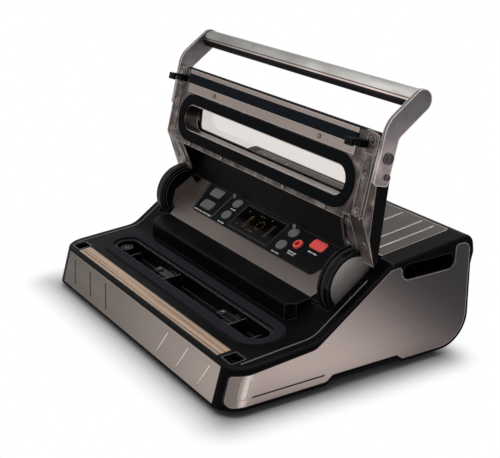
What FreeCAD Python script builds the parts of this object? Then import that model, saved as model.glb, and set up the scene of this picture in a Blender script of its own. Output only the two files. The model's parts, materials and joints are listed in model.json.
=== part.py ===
"""Countertop vacuum sealer with a hinged, windowed lid, shown with the lid open.

Pieces are modelled with the front edge of the housing at y = 0. The finished model is
moved so that its origin is the middle of the footprint, on the table.
"""
import FreeCAD, Part
import math
import os

from FreeCAD import Placement, Rotation, Vector

# Whole appliance
WIDTH = 380.0
DEPTH = 285.0
WALL = 3.0
SKIN = 1.0
SEAT_GAP = 0.3
RUN_GAP = 0.5

# Base
BOTTOM_Z = 6.5
TRAY_Z = 8.0
TRAY_T = 3.0
TRAY_BACK = 39.0
FOOT_R = 11.0
FOOT_CHAMFER = 1.5
FOOT_INSET_X = 40.0
FOOT_INSET_Y = 34.0
ARCH_FRONT_Y = 117.0
ARCH_LENGTH = 76.0
ARCH_RISE = 5.5
ARCH_SLOPE = 7.0
BOSS_R = 5.0
BOSS_INSET = 14.0
BOSS_FRONT_Y = (45.0, 92.0)
CASE_HEAD_R = 3.5
CASE_HEAD_T = 1.4
CASE_SHANK_R = 1.5
CASE_SCREW_LENGTH = 9.0

# Deck and slope of the housing
DECK_Z = 45.0
DECK_TILT = 4.73
FRONT_LEAN = 11.4
SLOPE_FOOT_Y = 101.5
SLOPE_TILT = 35.3
SLOPE_BEND_R = 30.0
SEAM_Y = 184.0
CORNER_R = 22.0
RIM_R = 2.5

# Rear cover
REAR_TOP_TILT = 7.3
BACK_BULGE_Z = 104.0
BACK_WAIST = 3.0
BACK_WAIST_DROP = 12.0
BACK_FOOT_R = 34.0
BACK_FOOT_LEAN = 1.0
BACK_SHOULDER_R = 12.0
GRIP_START = 13.0
GRIP_BACK = 27.0
GRIP_LOW_Z = 93.0
GRIP_HEIGHT = 15.0
GRIP_DEPTH = 26.0
GRIP_R = 6.0

# Steel skins
FRONT_PANEL_INSET = 23.0
FRONT_PANEL_LOW = 3.2
FRONT_PANEL_TOP_GAP = 2.8
FRONT_PANEL_R = 1.5
FRONT_RIB_X = (58.0, 97.5, 138.0)
FRONT_RIB_LEAN = 13.0
FRONT_RIB_LENGTH = 26.5
RIB_WIDTH = 1.6
RIB_DEPTH = 0.5
TOP_PANEL_INSET = 22.0
TOP_PANEL_BACK = 15.0
TOP_PANEL_R = 4.0
TOP_RIB_X = (103.5, 133.5, 151.5)
TOP_RIB_MARGIN = 4.0
SIDE_FRONT = 3.5
SIDE_LOW_Z = 10.5
SIDE_RIM = 6.8
SIDE_SLOPE_RIM = 4.5
SIDE_SHOULDER = 6.5
SIDE_EAR = 7.0
SIDE_GAP = 1.0
SIDE_SEAM_GAP = 3.0
SIDE_GRIP_GAP = 2.5
SIDE_FOOT_R = 5.0
SIDE_BACK_R = 31.0
SIDE_BEND_R = 16.0
SIDE_CORNER_R = 4.0
SIDE_GRIP_R = 9.0
SIDE_RIB_Y = (29.0, 108.0)
SIDE_RIB_Z = 17.8
DIMPLE_GAP = 8.5
DIMPLE_W = 8.5
DIMPLE_Z = (17.0, 36.0)
DIMPLE_R = 2.5

# Sealing bar, gasket and trough, measured along the deck from the front edge
TAPE_FRONT = 15.5
TAPE_W = 14.5
TAPE_INSET = 37.0
TAPE_T = 0.4
BAR_RISE = 0.9
BAR_DEEP = 6.5
WIRE_W = 3.0
WIRE_T = 0.2
GASKET_MID = 68.0
GASKET_INSET = 26.0
GASKET_R = 26.0
GASKET_W = 11.0
GASKET_H = 1.5
GASKET_BED = 1.5
TROUGH_LIP = 1.0
TROUGH_WALL = 2.0
TROUGH_DEEP = 22.0
STOP_X = (-48.0, 84.0)
STOP_LENGTH = 30.0
STOP_W = 9.0
STOP_LOW = 5.0
STOP_STEP = 3.0
CATCH_INSET = 24.0
CATCH_W = 16.0
CATCH_GAP = 1.3

# Bag ledge and control panel, the panel measured up its slope
LEDGE_INSET = 46.4
LEDGE_FRONT_Y = 99.2
LEDGE_FRONT_Z = 71.3
LEDGE_CHAMFER = 8.0
LEDGE_EDGE_R = 2.5
PANEL_Y = 125.0
PANEL_Z = 74.6
PANEL_TILT = 31.7
PANEL_SEAM_GAP = 1.3
PANEL_T = 1.5
PANEL_FOOT_INSET = 49.0
PANEL_DRUM_GAP = 2.5
PANEL_NOTCH = 11.0
PANEL_NOTCH_STEP = 4.5
TAB_FROM = 14.0
TAB_LENGTH = 36.0
TAB_FRONT_H = 3.0
TAB_RISE = 10.5
TAB_H = 12.0
OVERLAY_T = 0.8
OVERLAY_FOOT_INSET = 73.0
OVERLAY_TOP_INSET = 54.0
OVERLAY_FOOT = 19.0
OVERLAY_LENGTH = 45.0
OVERLAY_R = 6.0
DISPLAY_LEFT_INSET = 147.3
DISPLAY_RIGHT_INSET = 157.7
DISPLAY_FOOT = 24.5
DISPLAY_L = 30.0
DISPLAY_T = 1.1
DISPLAY_R = 1.5
KEY_GAP = 0.4
KEY_RISE = 1.2
KEY_FLANGE = 1.5
KEY_FLANGE_T = 1.1
RECT_KEY = (22.0, 11.5, 3.0)
OVAL_KEY = (13.5, 11.5, 5.5)
LOWER_ROW_S = 32.3
UPPER_ROW_S = 50.4
LEFT = -1
RIGHT = 1
KEYS = {
    "key_mode_lower": (LEFT, 90.4, LOWER_ROW_S, RECT_KEY),
    "key_mode_upper": (LEFT, 86.4, UPPER_ROW_S, RECT_KEY),
    "key_left_lower": (LEFT, 131.5, LOWER_ROW_S, OVAL_KEY),
    "key_left_upper": (LEFT, 130.3, UPPER_ROW_S, OVAL_KEY),
    "key_right_lower": (RIGHT, 139.4, LOWER_ROW_S, OVAL_KEY),
    "key_right_upper": (RIGHT, 139.5, UPPER_ROW_S, OVAL_KEY),
    "key_start": (RIGHT, 95.8, UPPER_ROW_S, RECT_KEY),
}
PORT_INSET = 120.1
PORT_S = 41.0
PORT_R = 5.5
PORT_BORE_R = 3.0
PORT_RISE = 2.6
PORT_LENGTH = 16.0
PORT_EDGE_R = 1.0
BOARD_MARGIN = 4.9
BOARD_FOOT = 22.0
BOARD_L = 40.0
BOARD_T = 1.6
BOARD_DROP = 4.2

# Hinge
HINGE_Y = 157.6
HINGE_Z = 88.8
OPEN_ANGLE = 108.73
DRUM_R = 34.5
DRUM_RIM = 4.0
DRUM_W = 13.0
DRUM_INSET = 20.0
DRUM_FLANGE_R = 37.0
DRUM_FLANGE_T = 2.5
CAP_R = 27.0
CAP_T = 2.0
CAP_SINK = 4.5
PIN_R = 2.5
PIN_GAP = 0.05
PIN_SEAT = 22.0
PIN_END_GAP = 1.0

# Lid: u runs from the hinge to the lid's front edge, w from the hinge to the lid's outside
LID_FRONT_U = 146.0
LID_INNER_W = -27.0
LID_PLATE_T = 3.0
LID_SKIN_T = 2.5
LID_CORNER_R = 16.0
LID_KINK_U = 116.0
LID_KINK_W = -7.0
LID_KINK_R = 40.0
LID_REAR_U = 28.0
LID_REAR_W = 3.0
LID_EDGE_W = -14.0
LID_EDGE_R = 4.0
LID_TIP_U = 23.0
LID_TIP_W = 0.0
LID_BEND_U = 68.0
SPLIT_KNEE_U = 49.0
SPLIT_KNEE_W = -12.9
SPLIT_MID_U = 98.0
SPLIT_MID_W = -19.3
PLATE_REAR_U = 61.5
RAIL_GAP = 1.0
RAIL_LAP = 1.0
WINDOW_INSET = 41.0
WINDOW_HIGH = 24.0
WINDOW_LAP = 4.0
WINDOW_T = 3.0
WINDOW_R = 5.0
CLOSE_GAP = 0.4
PAD_REAR_U = 130.0
PAD_W = 10.5
PAD_INSET = 35.0
STRIP_T = 0.8
FRONT_STRIP_W = 4.5
REAR_STRIP_W = 10.0
STRIP_SCREW_X = 99.0
HOOK_U = 130.0
HOOK_T = 7.0
HOOK_W = 10.0
HOOK_WEB = 2.5
HOOK_LENGTH = 20.0
HOOK_EYE = 6.0
HOOK_FOOT = 3.5
SCREW_R = 2.3
SCREW_HEAD = 1.2
SCREW_SLOT = 0.8
SCREW_SHANK_R = 1.3
SCREW_DEEP = 2.4
SCREW_INSET = 10.0
SCREW_EDGE = 0.2
SCREW_RAIL_U = (138.0, 104.0, 72.0)
SCREW_BAR_X = (60.0, 130.0)

# Handle
ARM_T = 4.0
ARM_W = 17.0
ARM_FOOT_U = 100.0
ARM_FOOT_R = 3.0
ARM_BEND_U = 151.0
ARM_UNDER_BEND_R = 28.0
ARM_OVER_BEND_R = 9.0
ARM_TIP = 1.0
TUBE_U = 181.0
TUBE_W = 7.0
TUBE_R = 9.5
TUBE_WALL = 1.5
BOLTS = ((125.5, -17.0, 5.5, 3.0), (108.5, -13.5, 3.0, 1.6))
BOLT_HEAD_T = 1.6
BOLT_SLOT = 1.4

# Latch under the deck
TONGUE_GAP = 0.7
TONGUE_H = 4.0
TONGUE_W = 4.0
TONGUE_LENGTH = 11.0
TONGUE_POST = 4.0
TONGUE_REST = 2.0
LATCH_BAR_H = 4.0
LATCH_BAR_W = 9.0
LATCH_DROP = 3.0
LATCH_LEAD = 2.0
LUG_H = 10.0
LUG_T = 4.0
GUIDE_X = 96.0
GUIDE_W = 12.0
GUIDE_WALL = 3.0
SPRING_R = 3.5
SPRING_WIRE_R = 0.6
SPRING_TURNS = 7
SPRING_LENGTH = 26.0

# Works inside the rear cover
PUMP_R = 26.0
PUMP_LENGTH = 52.0
PUMP_X = -58.0
PUMP_BACK = 53.0
MOTOR_R = 21.0
MOTOR_LENGTH = 62.0
CRADLE_T = 4.0
CRADLE_W = 30.0
CRADLE_RISE = 12.0
TRANSFORMER_X = 96.0
TRANSFORMER_W = 66.0
TRANSFORMER_D = 48.0
TRANSFORMER_H = 52.0
VALVE_Y = 140.0
VALVE_R = 9.0
HOSE_R = 4.0
HOSE_BORE_R = 2.5
INLET_X = 130.0
INLET_Z = 62.0
INLET_W = 28.0
INLET_H = 20.0
INLET_DEEP = 20.0
INLET_WALL = 3.0

# A length that reaches past any piece, for cuts that go right through
FAR = 300.0
OVER = 1.0

# Places that follow from the sizes above
HALF = WIDTH / 2
DECK_SLOPE = math.tan(math.radians(DECK_TILT))
RIM_SLOPE = math.tan(math.radians(SLOPE_TILT))
REAR_SLOPE = math.tan(math.radians(REAR_TOP_TILT))
SLOPE_FOOT_Z = DECK_Z + DECK_SLOPE * SLOPE_FOOT_Y
SEAM_Z = SLOPE_FOOT_Z + RIM_SLOPE * (SEAM_Y - SLOPE_FOOT_Y)
FRONT_TOP_Z = DECK_Z + DECK_SLOPE * FRONT_LEAN
FRONT_SLOPE = FRONT_LEAN / (FRONT_TOP_Z - BOTTOM_Z)
FRONT_TILT = math.degrees(math.atan(FRONT_SLOPE))
FRONT_HEIGHT = math.hypot(FRONT_LEAN, FRONT_TOP_Z - BOTTOM_Z)
TRAY_TOP = TRAY_Z + TRAY_T
TRAY_BACK_Y = DEPTH - TRAY_BACK
BOSS_REAR_Y = (SEAM_Y + TRAY_BACK_Y) / 2
ARCH_BACK_Y = ARCH_FRONT_Y + ARCH_LENGTH
GRIP_FRONT_Y = SEAM_Y + GRIP_START
GRIP_BACK_Y = DEPTH - GRIP_BACK
TOP_PANEL_END_Y = DEPTH - TOP_PANEL_BACK
FRONT_BOSSES = [(side * (HALF - BOSS_INSET), y) for y in BOSS_FRONT_Y for side in (-1, 1)]
REAR_BOSSES = [(side * (HALF - BOSS_INSET), BOSS_REAR_Y) for side in (-1, 1)]

# Height of the hinge above the deck, and its distance from the front along the deck
TILT_COS = math.cos(math.radians(DECK_TILT))
TILT_SIN = math.sin(math.radians(DECK_TILT))
HINGE = Vector(0, HINGE_Y, HINGE_Z)
HINGE_RISE = (HINGE_Z - DECK_Z) * TILT_COS - HINGE_Y * TILT_SIN
HINGE_REACH = HINGE_Y * TILT_COS + (HINGE_Z - DECK_Z) * TILT_SIN

# Room between the closed lid and the deck, which the pad and the gaskets fill but for a gap
LID_ROOM = HINGE_RISE + LID_INNER_W
PAD_H = LID_ROOM - BAR_RISE - TAPE_T - CLOSE_GAP
UPPER_GASKET_H = LID_ROOM - GASKET_H - CLOSE_GAP
GASKET_HALF = HALF - GASKET_INSET
GASKET_U = HINGE_REACH - GASKET_MID
TROUGH_HALF = GASKET_HALF - GASKET_W - TROUGH_LIP
TROUGH_R = GASKET_R - GASKET_W - TROUGH_LIP
TAPE_HALF = HALF - TAPE_INSET
TAPE_BACK = TAPE_FRONT + TAPE_W
WIRE_V = TAPE_FRONT + TAPE_W / 2

# Catch holes, wide enough for the hooks to swing through
CATCH_X = HALF - CATCH_INSET
CATCH_BACK = HINGE_REACH - HOOK_U + CATCH_GAP
HOOK_SWING_R = math.hypot(HOOK_U + HOOK_T, LID_INNER_W - HOOK_LENGTH)
CATCH_FRONT = HINGE_REACH - math.sqrt(HOOK_SWING_R ** 2 - HINGE_RISE ** 2) - CATCH_GAP
HOOK_LOW = LID_ROOM - HOOK_LENGTH
EYE_LOW = HOOK_LOW + HOOK_FOOT
EYE_FRONT = HINGE_REACH - HOOK_U - HOOK_T + HOOK_WEB
LATCH_TOP = HOOK_LOW - LATCH_DROP
LATCH_FRONT = EYE_FRONT - LATCH_LEAD

DRUM_OUT_X = HALF - DRUM_INSET
DRUM_IN_X = DRUM_OUT_X - DRUM_W
CAP_FLOOR_X = DRUM_OUT_X - CAP_SINK - CAP_T
PANEL_HALF = DRUM_IN_X - PANEL_DRUM_GAP
PANEL_FOOT_HALF = HALF - PANEL_FOOT_INSET
PANEL_LENGTH = (SEAM_Y - PANEL_Y) / math.cos(math.radians(PANEL_TILT)) - PANEL_SEAM_GAP
KEY_PLACES = {name: (side * (HALF - inset), s, size) for name, (side, inset, s, size) in KEYS.items()}
KEYS_HALF = max(abs(x) + size[0] / 2 for x, s, size in KEY_PLACES.values())
BOARD_HALF = KEYS_HALF + KEY_FLANGE + BOARD_MARGIN
PORT_X = HALF - PORT_INSET
DISPLAY_LEFT = DISPLAY_LEFT_INSET - HALF
DISPLAY_RIGHT = HALF - DISPLAY_RIGHT_INSET
LEDGE_HALF = HALF - LEDGE_INSET
PIN_IN_X = PANEL_HALF - PIN_SEAT
LID_HALF = HALF - ARM_T
RAIL_IN_X = DRUM_IN_X + RAIL_GAP
WINDOW_HALF = HALF - WINDOW_INSET
PAD_HALF = HALF - PAD_INSET
PAD_FRONT_U = PAD_REAR_U + PAD_W
SPLIT_FRONT_W = LID_INNER_W + LID_PLATE_T
PUMP_Y = DEPTH - PUMP_BACK
PUMP_Z = TRAY_TOP + CRADLE_T + PUMP_R

# Working frames: y runs back along the surface and z stands out of it
X_AXIS = Vector(1, 0, 0)
Y_AXIS = Vector(0, 1, 0)
SIDEWAYS = Rotation(Vector(1, 1, 1), 120)
DECK_FRAME = Placement(Vector(0, 0, DECK_Z), Rotation(X_AXIS, DECK_TILT))
FRONT_FRAME = Placement(Vector(0, 0, BOTTOM_Z), Rotation(X_AXIS, 90 - FRONT_TILT))
TOP_FRAME = Placement(Vector(0, SEAM_Y, SEAM_Z), Rotation(X_AXIS, REAR_TOP_TILT))
PANEL_FRAME = Placement(Vector(0, PANEL_Y, PANEL_Z), Rotation(X_AXIS, PANEL_TILT))
LID_FRAME = Placement(HINGE, Rotation(X_AXIS, DECK_TILT - OPEN_ANGLE))

NODES = {}


def in_frame(shape, frame):
    """A copy of a shape, moved from its working frame."""
    moved = shape.copy()
    moved.Placement = frame.multiply(moved.Placement)
    return moved


def backwards(distance):
    """Move towards the back of the appliance."""
    return Placement(Vector(0, distance, 0), Rotation())


def add(name, shape, frame=Placement()):
    """Keeps a finished piece under its name."""
    NODES[name] = in_frame(shape, frame)


# Drawing helpers
def outline(points, radius=0.0):
    """Closed wire through 2-D points, with corners rounded by one radius or a list."""
    count = len(points)
    radii = radius if isinstance(radius, list) else [radius] * count
    corners = [Vector(p[0], p[1], 0) for p in points]
    rounds = []
    for i in range(count):
        here = corners[i]
        back = (corners[i - 1] - here).normalize()
        ahead = (corners[(i + 1) % count] - here).normalize()
        half = back.getAngle(ahead) / 2
        reach = radii[i] / math.tan(half)
        inward = (back + ahead).normalize()
        middle = here + inward * (radii[i] / math.sin(half) - radii[i])
        rounds.append((here + back * reach, middle, here + ahead * reach))
    edges = []
    for i in range(count):
        start, middle, end = rounds[i]
        if radii[i] > 0:
            edges.append(Part.Arc(start, middle, end).toShape())
        edges.append(Part.LineSegment(end, rounds[(i + 1) % count][0]).toShape())
    return Part.Wire(edges)


def rectangle(x0, x1, y0, y1, radius=0.0):
    return outline([(x0, y0), (x1, y0), (x1, y1), (x0, y1)], radius)


def oblong(half, radius, mid):
    """Stadium outline, long in x, about the line y = mid."""
    reach = half - radius
    low = mid - radius
    high = mid + radius
    edges = [
        Part.LineSegment(Vector(-reach, low, 0), Vector(reach, low, 0)),
        Part.Arc(Vector(reach, low, 0), Vector(half, mid, 0), Vector(reach, high, 0)),
        Part.LineSegment(Vector(reach, high, 0), Vector(-reach, high, 0)),
        Part.Arc(Vector(-reach, high, 0), Vector(-half, mid, 0), Vector(-reach, low, 0)),
    ]
    return Part.Wire([edge.toShape() for edge in edges])


def slab(wire, low, high):
    """Flat piece of an outline, between two heights."""
    face = Part.Face(wire)
    face.translate(Vector(0, 0, low))
    return face.extrude(Vector(0, 0, high - low))


def side_prism(points, left, right, radius=0.0):
    """Side profile of (y, z) points, drawn out from x = left to x = right."""
    return in_frame(slab(outline(points, radius), left, right), Placement(Vector(), SIDEWAYS))


def lid_prism(points, left, right, radius=0.0):
    """Side profile of (u, w) points in the lid's frame."""
    return side_prism([(-u, w) for u, w in points], left, right, radius)


def block(x0, x1, y0, y1, z0, z1):
    return Part.makeBox(x1 - x0, y1 - y0, z1 - z0, Vector(x0, y0, z0))


def bar_x(radius, left, right, y=0.0, z=0.0):
    """Round bar along x."""
    return Part.makeCylinder(radius, right - left, Vector(left, y, z), X_AXIS)


def mirrored(shape):
    """The same piece on the other side of the appliance."""
    return shape.mirror(Vector(), X_AXIS)


def both_sides(shape):
    return Part.makeCompound([shape, mirrored(shape)])


def deck_z(y):
    return DECK_Z + DECK_SLOPE * y


def rim_z(y):
    return SLOPE_FOOT_Z + RIM_SLOPE * (y - SLOPE_FOOT_Y)


def rear_top_z(y):
    return SEAM_Z + REAR_SLOPE * (y - SEAM_Y)


def housing_top_z(y):
    return max(deck_z(y), rim_z(y))


# Housing shells
def front_profile(inset):
    """Side profile of the deck housing, drawn in by an inset and then open below."""
    front = inset * math.hypot(1, FRONT_SLOPE)
    drop = inset / TILT_COS
    slope_drop = inset / math.cos(math.radians(SLOPE_TILT))
    low = BOTTOM_Z - inset
    foot_y = SLOPE_FOOT_Y + (slope_drop - drop) / (RIM_SLOPE - DECK_SLOPE)
    top_y = (front + FRONT_SLOPE * (DECK_Z - drop - BOTTOM_Z)) / (1 - DECK_SLOPE * FRONT_SLOPE)
    return [
        (front - FRONT_SLOPE * inset, low),
        (SEAM_Y, low),
        (SEAM_Y, SEAM_Z - slope_drop),
        (foot_y, deck_z(foot_y) - drop),
        (top_y, deck_z(top_y) - drop),
    ]


def round_front(shape, radius):
    """Rounds the two standing front corners."""
    chosen = []
    for edge in shape.Edges:
        ends = [vertex.Point for vertex in edge.Vertexes]
        upright = abs(ends[0].z - ends[-1].z) > (FRONT_TOP_Z - BOTTOM_Z) / 2
        if upright and max(p.y for p in ends) < SLOPE_FOOT_Y / 2:
            chosen.append(edge)
    return shape.makeFillet(radius, chosen)


def deck_rim_edges(shape):
    """Outer edges along the top of the deck housing, without the crease that crosses it."""
    chosen = []
    for edge in shape.Edges:
        points = [edge.valueAt(edge.FirstParameter), edge.valueAt(edge.LastParameter)]
        points.append(edge.CenterOfMass)
        on_top = all(p.z > housing_top_z(p.y) - RIM_R / 4 for p in points)
        along = abs(points[0].y - points[1].y) > OVER
        at_front = max(p.y for p in points) < FRONT_LEAN + 2 * CORNER_R
        if on_top and (along or at_front):
            chosen.append(edge)
    return chosen


def deck_shell(inset):
    radii = [0, 0, 0, SLOPE_BEND_R + inset, 0]
    body = side_prism(front_profile(inset), inset - HALF, HALF - inset, radii)
    return round_front(body, CORNER_R - inset)


def rear_shell(inset):
    """Rear cover as a full body, drawn in by an inset from its outside."""
    low = BOTTOM_Z + inset
    back = DEPTH - inset
    drop = inset / math.cos(math.radians(REAR_TOP_TILT))
    waist = back - BACK_WAIST
    points = [
        (SEAM_Y, low),
        (waist + BACK_FOOT_LEAN, low),
        (waist, BACK_BULGE_Z - BACK_WAIST_DROP),
        (back, BACK_BULGE_Z),
        (waist, rear_top_z(waist) - drop),
        (SEAM_Y, SEAM_Z - drop),
    ]
    shoulder = BACK_SHOULDER_R - inset
    radii = [0, BACK_FOOT_R - inset, BACK_SHOULDER_R + inset, shoulder, shoulder, 0]
    return side_prism(points, inset - HALF, HALF - inset, radii)


def rear_rim_edges(shape):
    """Outline edges of the rear cover's two sides, but for the seam and the bottom."""
    chosen = []
    for edge in shape.Edges:
        box = edge.BoundBox
        in_side = box.XLength < SEAT_GAP
        if in_side and box.YMax > SEAM_Y + SEAT_GAP and box.ZMin > BOTTOM_Z + SEAT_GAP:
            chosen.append(edge)
    return chosen


def arch_cut():
    """Low arch in the bottom edge of both side walls."""
    points = [
        (ARCH_FRONT_Y - ARCH_SLOPE, BOTTOM_Z),
        (ARCH_FRONT_Y - ARCH_SLOPE, BOTTOM_Z - OVER),
        (ARCH_BACK_Y + ARCH_SLOPE, BOTTOM_Z - OVER),
        (ARCH_BACK_Y + ARCH_SLOPE, BOTTOM_Z),
        (ARCH_BACK_Y, BOTTOM_Z + ARCH_RISE),
        (ARCH_FRONT_Y, BOTTOM_Z + ARCH_RISE),
    ]
    return side_prism(points, -HALF - OVER, HALF + OVER)


def skin_body(inset):
    """Outside of the housing where its steel skins lie, drawn in by an inset."""
    rear = block(inset - HALF, HALF - inset, SEAM_Y, DEPTH, 0, FAR)
    return deck_shell(inset).fuse(rear)


def side_layer(points, radius, depth):
    """Profile sunk to a depth in the right side and round its front corner."""
    return side_prism(points, HALF - CORNER_R, HALF + OVER, radius).cut(skin_body(depth))


def side_skin(grow):
    """Seat of the right steel skin, grown by a gap all round."""
    low = SIDE_LOW_Z - grow
    arch = low + ARCH_RISE
    rim = SIDE_RIM - grow
    slope_rim = SIDE_SLOPE_RIM - grow
    front = SIDE_FRONT - grow
    front_z = deck_z(front) - rim
    back = DEPTH - BACK_WAIST - RIM_R - SIDE_GAP + grow
    foot_y = SLOPE_FOOT_Y + (slope_rim - rim) / (RIM_SLOPE - DECK_SLOPE)
    seam_y = SEAM_Y - SIDE_SEAM_GAP
    grip_low = GRIP_LOW_Z - SIDE_GAP + grow
    grip_front = GRIP_FRONT_Y - SIDE_GRIP_GAP + grow
    grip_back = GRIP_BACK_Y + SIDE_GRIP_GAP - grow
    ear = rear_top_z(TOP_PANEL_END_Y) - SIDE_EAR + grow
    corners = [
        (front + FRONT_SLOPE * (low - BOTTOM_Z), low, SIDE_FOOT_R),
        (ARCH_FRONT_Y - ARCH_SLOPE, low, SIDE_CORNER_R),
        (ARCH_FRONT_Y, arch, SIDE_CORNER_R),
        (ARCH_BACK_Y, arch, SIDE_CORNER_R),
        (ARCH_BACK_Y + ARCH_SLOPE, low, SIDE_CORNER_R),
        (back, low, SIDE_BACK_R),
        (back, ear, SIDE_GRIP_R),
        (grip_back, ear, SIDE_CORNER_R),
        (grip_back, grip_low, SIDE_GRIP_R),
        (grip_front, grip_low, SIDE_GRIP_R),
        (grip_front, rear_top_z(grip_front) - SIDE_SHOULDER + grow, SIDE_CORNER_R),
        (seam_y, rim_z(seam_y) - slope_rim, SIDE_CORNER_R),
        (foot_y, deck_z(foot_y) - rim, SIDE_BEND_R),
        (front + FRONT_SLOPE * (front_z - BOTTOM_Z), front_z, SIDE_CORNER_R),
    ]
    points = [(y, z) for y, z, radius in corners]
    return side_layer(points, [radius for y, z, radius in corners], SKIN)


def front_skin(grow, inner, outer):
    """Slab on the leaning front face, grown by a gap all round."""
    half = HALF - FRONT_PANEL_INSET + grow
    low = FRONT_PANEL_LOW - grow
    high = FRONT_HEIGHT - FRONT_PANEL_TOP_GAP + grow
    wire = rectangle(-half, half, low, high, FRONT_PANEL_R)
    return in_frame(slab(wire, inner, outer), FRONT_FRAME)


def top_skin(grow, inner, outer):
    """Slab on the rising top of the rear cover, grown by a gap all round."""
    half = HALF - TOP_PANEL_INSET + grow
    length = (TOP_PANEL_END_Y - SEAM_Y) / math.cos(math.radians(REAR_TOP_TILT)) + grow
    wire = rectangle(-half, half, -grow, length, [0, 0, TOP_PANEL_R, TOP_PANEL_R])
    return in_frame(slab(wire, inner, outer), TOP_FRAME)


def case_boss(x, y, top):
    """Screw post that stands on the tray."""
    return Part.makeCylinder(BOSS_R, top - WALL / 2 - TRAY_TOP, Vector(x, y, TRAY_TOP))


def case_screw_hole(x, y):
    return Part.makeCylinder(CASE_SHANK_R, CASE_SCREW_LENGTH, Vector(x, y, TRAY_Z))


def case_screw(x, y):
    head = Part.makeCylinder(CASE_HEAD_R, CASE_HEAD_T, Vector(x, y, TRAY_Z - CASE_HEAD_T))
    return head.fuse(case_screw_hole(x, y)).removeSplitter()


def drum_space():
    """Round space that the right hinge drum turns in."""
    radius = DRUM_FLANGE_R + RUN_GAP
    return bar_x(radius, DRUM_IN_X - RUN_GAP, DRUM_OUT_X + RUN_GAP, HINGE_Y, HINGE_Z)


def console_wedge():
    """Raised wedge under the control plate, between the hinge drums."""
    tilt = math.radians(PANEL_TILT)
    under = PANEL_T / math.cos(tilt)
    end_z = PANEL_Z + math.tan(tilt) * (SEAM_Y - PANEL_Y)
    points = [
        (PANEL_Y, rim_z(PANEL_Y) - WALL),
        (SEAM_Y, SEAM_Z - WALL),
        (SEAM_Y, end_z - under),
        (PANEL_Y, PANEL_Z - under),
    ]
    return side_prism(points, -PANEL_HALF, PANEL_HALF)


def board_wire():
    return rectangle(-BOARD_HALF, BOARD_HALF, BOARD_FOOT, BOARD_FOOT + BOARD_L)


def deck_housing():
    outer = deck_shell(0.0)
    outer = outer.makeFillet(RIM_R, deck_rim_edges(outer))
    pin_boss = bar_x(PIN_R + WALL, PIN_IN_X, PANEL_HALF, HINGE_Y, HINGE_Z)
    bosses = [case_boss(x, y, deck_z(y)) for x, y in FRONT_BOSSES]
    solids = [console_wedge(), pin_boss, mirrored(pin_boss)] + bosses
    shell = outer.cut(deck_shell(WALL)).fuse(solids)
    deck_cuts = [
        slab(oblong(TROUGH_HALF, TROUGH_R, GASKET_MID), -2 * WALL, OVER),
        slab(oblong(GASKET_HALF, GASKET_R, GASKET_MID), -GASKET_BED, OVER),
        block(-TAPE_HALF, TAPE_HALF, TAPE_FRONT, TAPE_BACK, -2 * WALL, OVER),
    ]
    plate_wire = rectangle(-PANEL_HALF - SEAT_GAP, PANEL_HALF + SEAT_GAP, 0, 2 * PANEL_LENGTH)
    panel_cuts = [slab(board_wire(), -PANEL_LENGTH / 2, 0), slab(plate_wire, -PANEL_T, PANEL_LENGTH / 2)]
    cuts = [in_frame(shape, DECK_FRAME) for shape in deck_cuts]
    cuts += [in_frame(shape, PANEL_FRAME) for shape in panel_cuts]
    half = CATCH_W / 2
    catch = block(CATCH_X - half, CATCH_X + half, CATCH_FRONT, CATCH_BACK, -2 * WALL, OVER)
    pin_hole = bar_x(PIN_R, PIN_IN_X, DRUM_IN_X, HINGE_Y, HINGE_Z)
    side = side_skin(SEAT_GAP)
    for shape in (in_frame(catch, DECK_FRAME), drum_space(), pin_hole, side):
        cuts += [shape, mirrored(shape)]
    cuts += [arch_cut(), front_skin(SEAT_GAP, -SKIN, OVER)]
    cuts += [case_screw_hole(x, y) for x, y in FRONT_BOSSES]
    return shell.cut(cuts).removeSplitter()


def grip_pocket(grow):
    """Hand-grip hollow in the right side, grown by a wall."""
    front = GRIP_FRONT_Y - grow
    back = GRIP_BACK_Y + grow
    low = GRIP_LOW_Z - grow
    high = GRIP_LOW_Z + GRIP_HEIGHT + grow
    points = [(front, low), (back, low), (back, high), (front, high)]
    return side_prism(points, HALF - GRIP_DEPTH - grow, HALF + OVER, GRIP_R + grow)


def inlet_box(inset):
    """Body of the power inlet, set in the back wall, drawn in by a wall."""
    wide = INLET_W / 2 - inset
    high = INLET_H / 2 - inset
    back = DEPTH - BACK_WAIST
    front = back - INLET_DEEP + inset
    return block(INLET_X - wide, INLET_X + wide, front, back, INLET_Z - high, INLET_Z + high)


def rear_cover():
    outer = rear_shell(0.0)
    outer = outer.makeFillet(RIM_R, rear_rim_edges(outer))
    mouth_half = HALF - WALL
    mouth = block(-mouth_half, mouth_half, SEAM_Y, TRAY_BACK_Y + SEAT_GAP, 0, TRAY_TOP + SEAT_GAP)
    walls = grip_pocket(WALL).common(outer)
    bosses = [case_boss(x, y, GRIP_LOW_Z) for x, y in REAR_BOSSES]
    shell = outer.cut([rear_shell(WALL), mouth]).fuse([walls, mirrored(walls)] + bosses)
    inlet = inlet_box(0.0)
    cuts = [top_skin(SEAT_GAP, -SKIN, 2 * RIM_R), arch_cut(), inlet, in_frame(inlet, backwards(BACK_WAIST))]
    side = side_skin(SEAT_GAP)
    for shape in (grip_pocket(0.0), side, drum_space()):
        cuts += [shape, mirrored(shape)]
    cuts += [case_screw_hole(x, y) for x, y in REAR_BOSSES]
    return shell.cut(cuts).removeSplitter()


def base_tray():
    half = HALF - WALL - SEAT_GAP
    front = WALL * math.hypot(1, FRONT_SLOPE) + FRONT_SLOPE * (TRAY_TOP - BOTTOM_Z) + SEAT_GAP
    wire = rectangle(-half, half, front, TRAY_BACK_Y, [CORNER_R, CORNER_R, 0, 0])
    return slab(wire, TRAY_Z, TRAY_TOP).cut([case_screw_hole(x, y) for x, y in FRONT_BOSSES + REAR_BOSSES])


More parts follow.
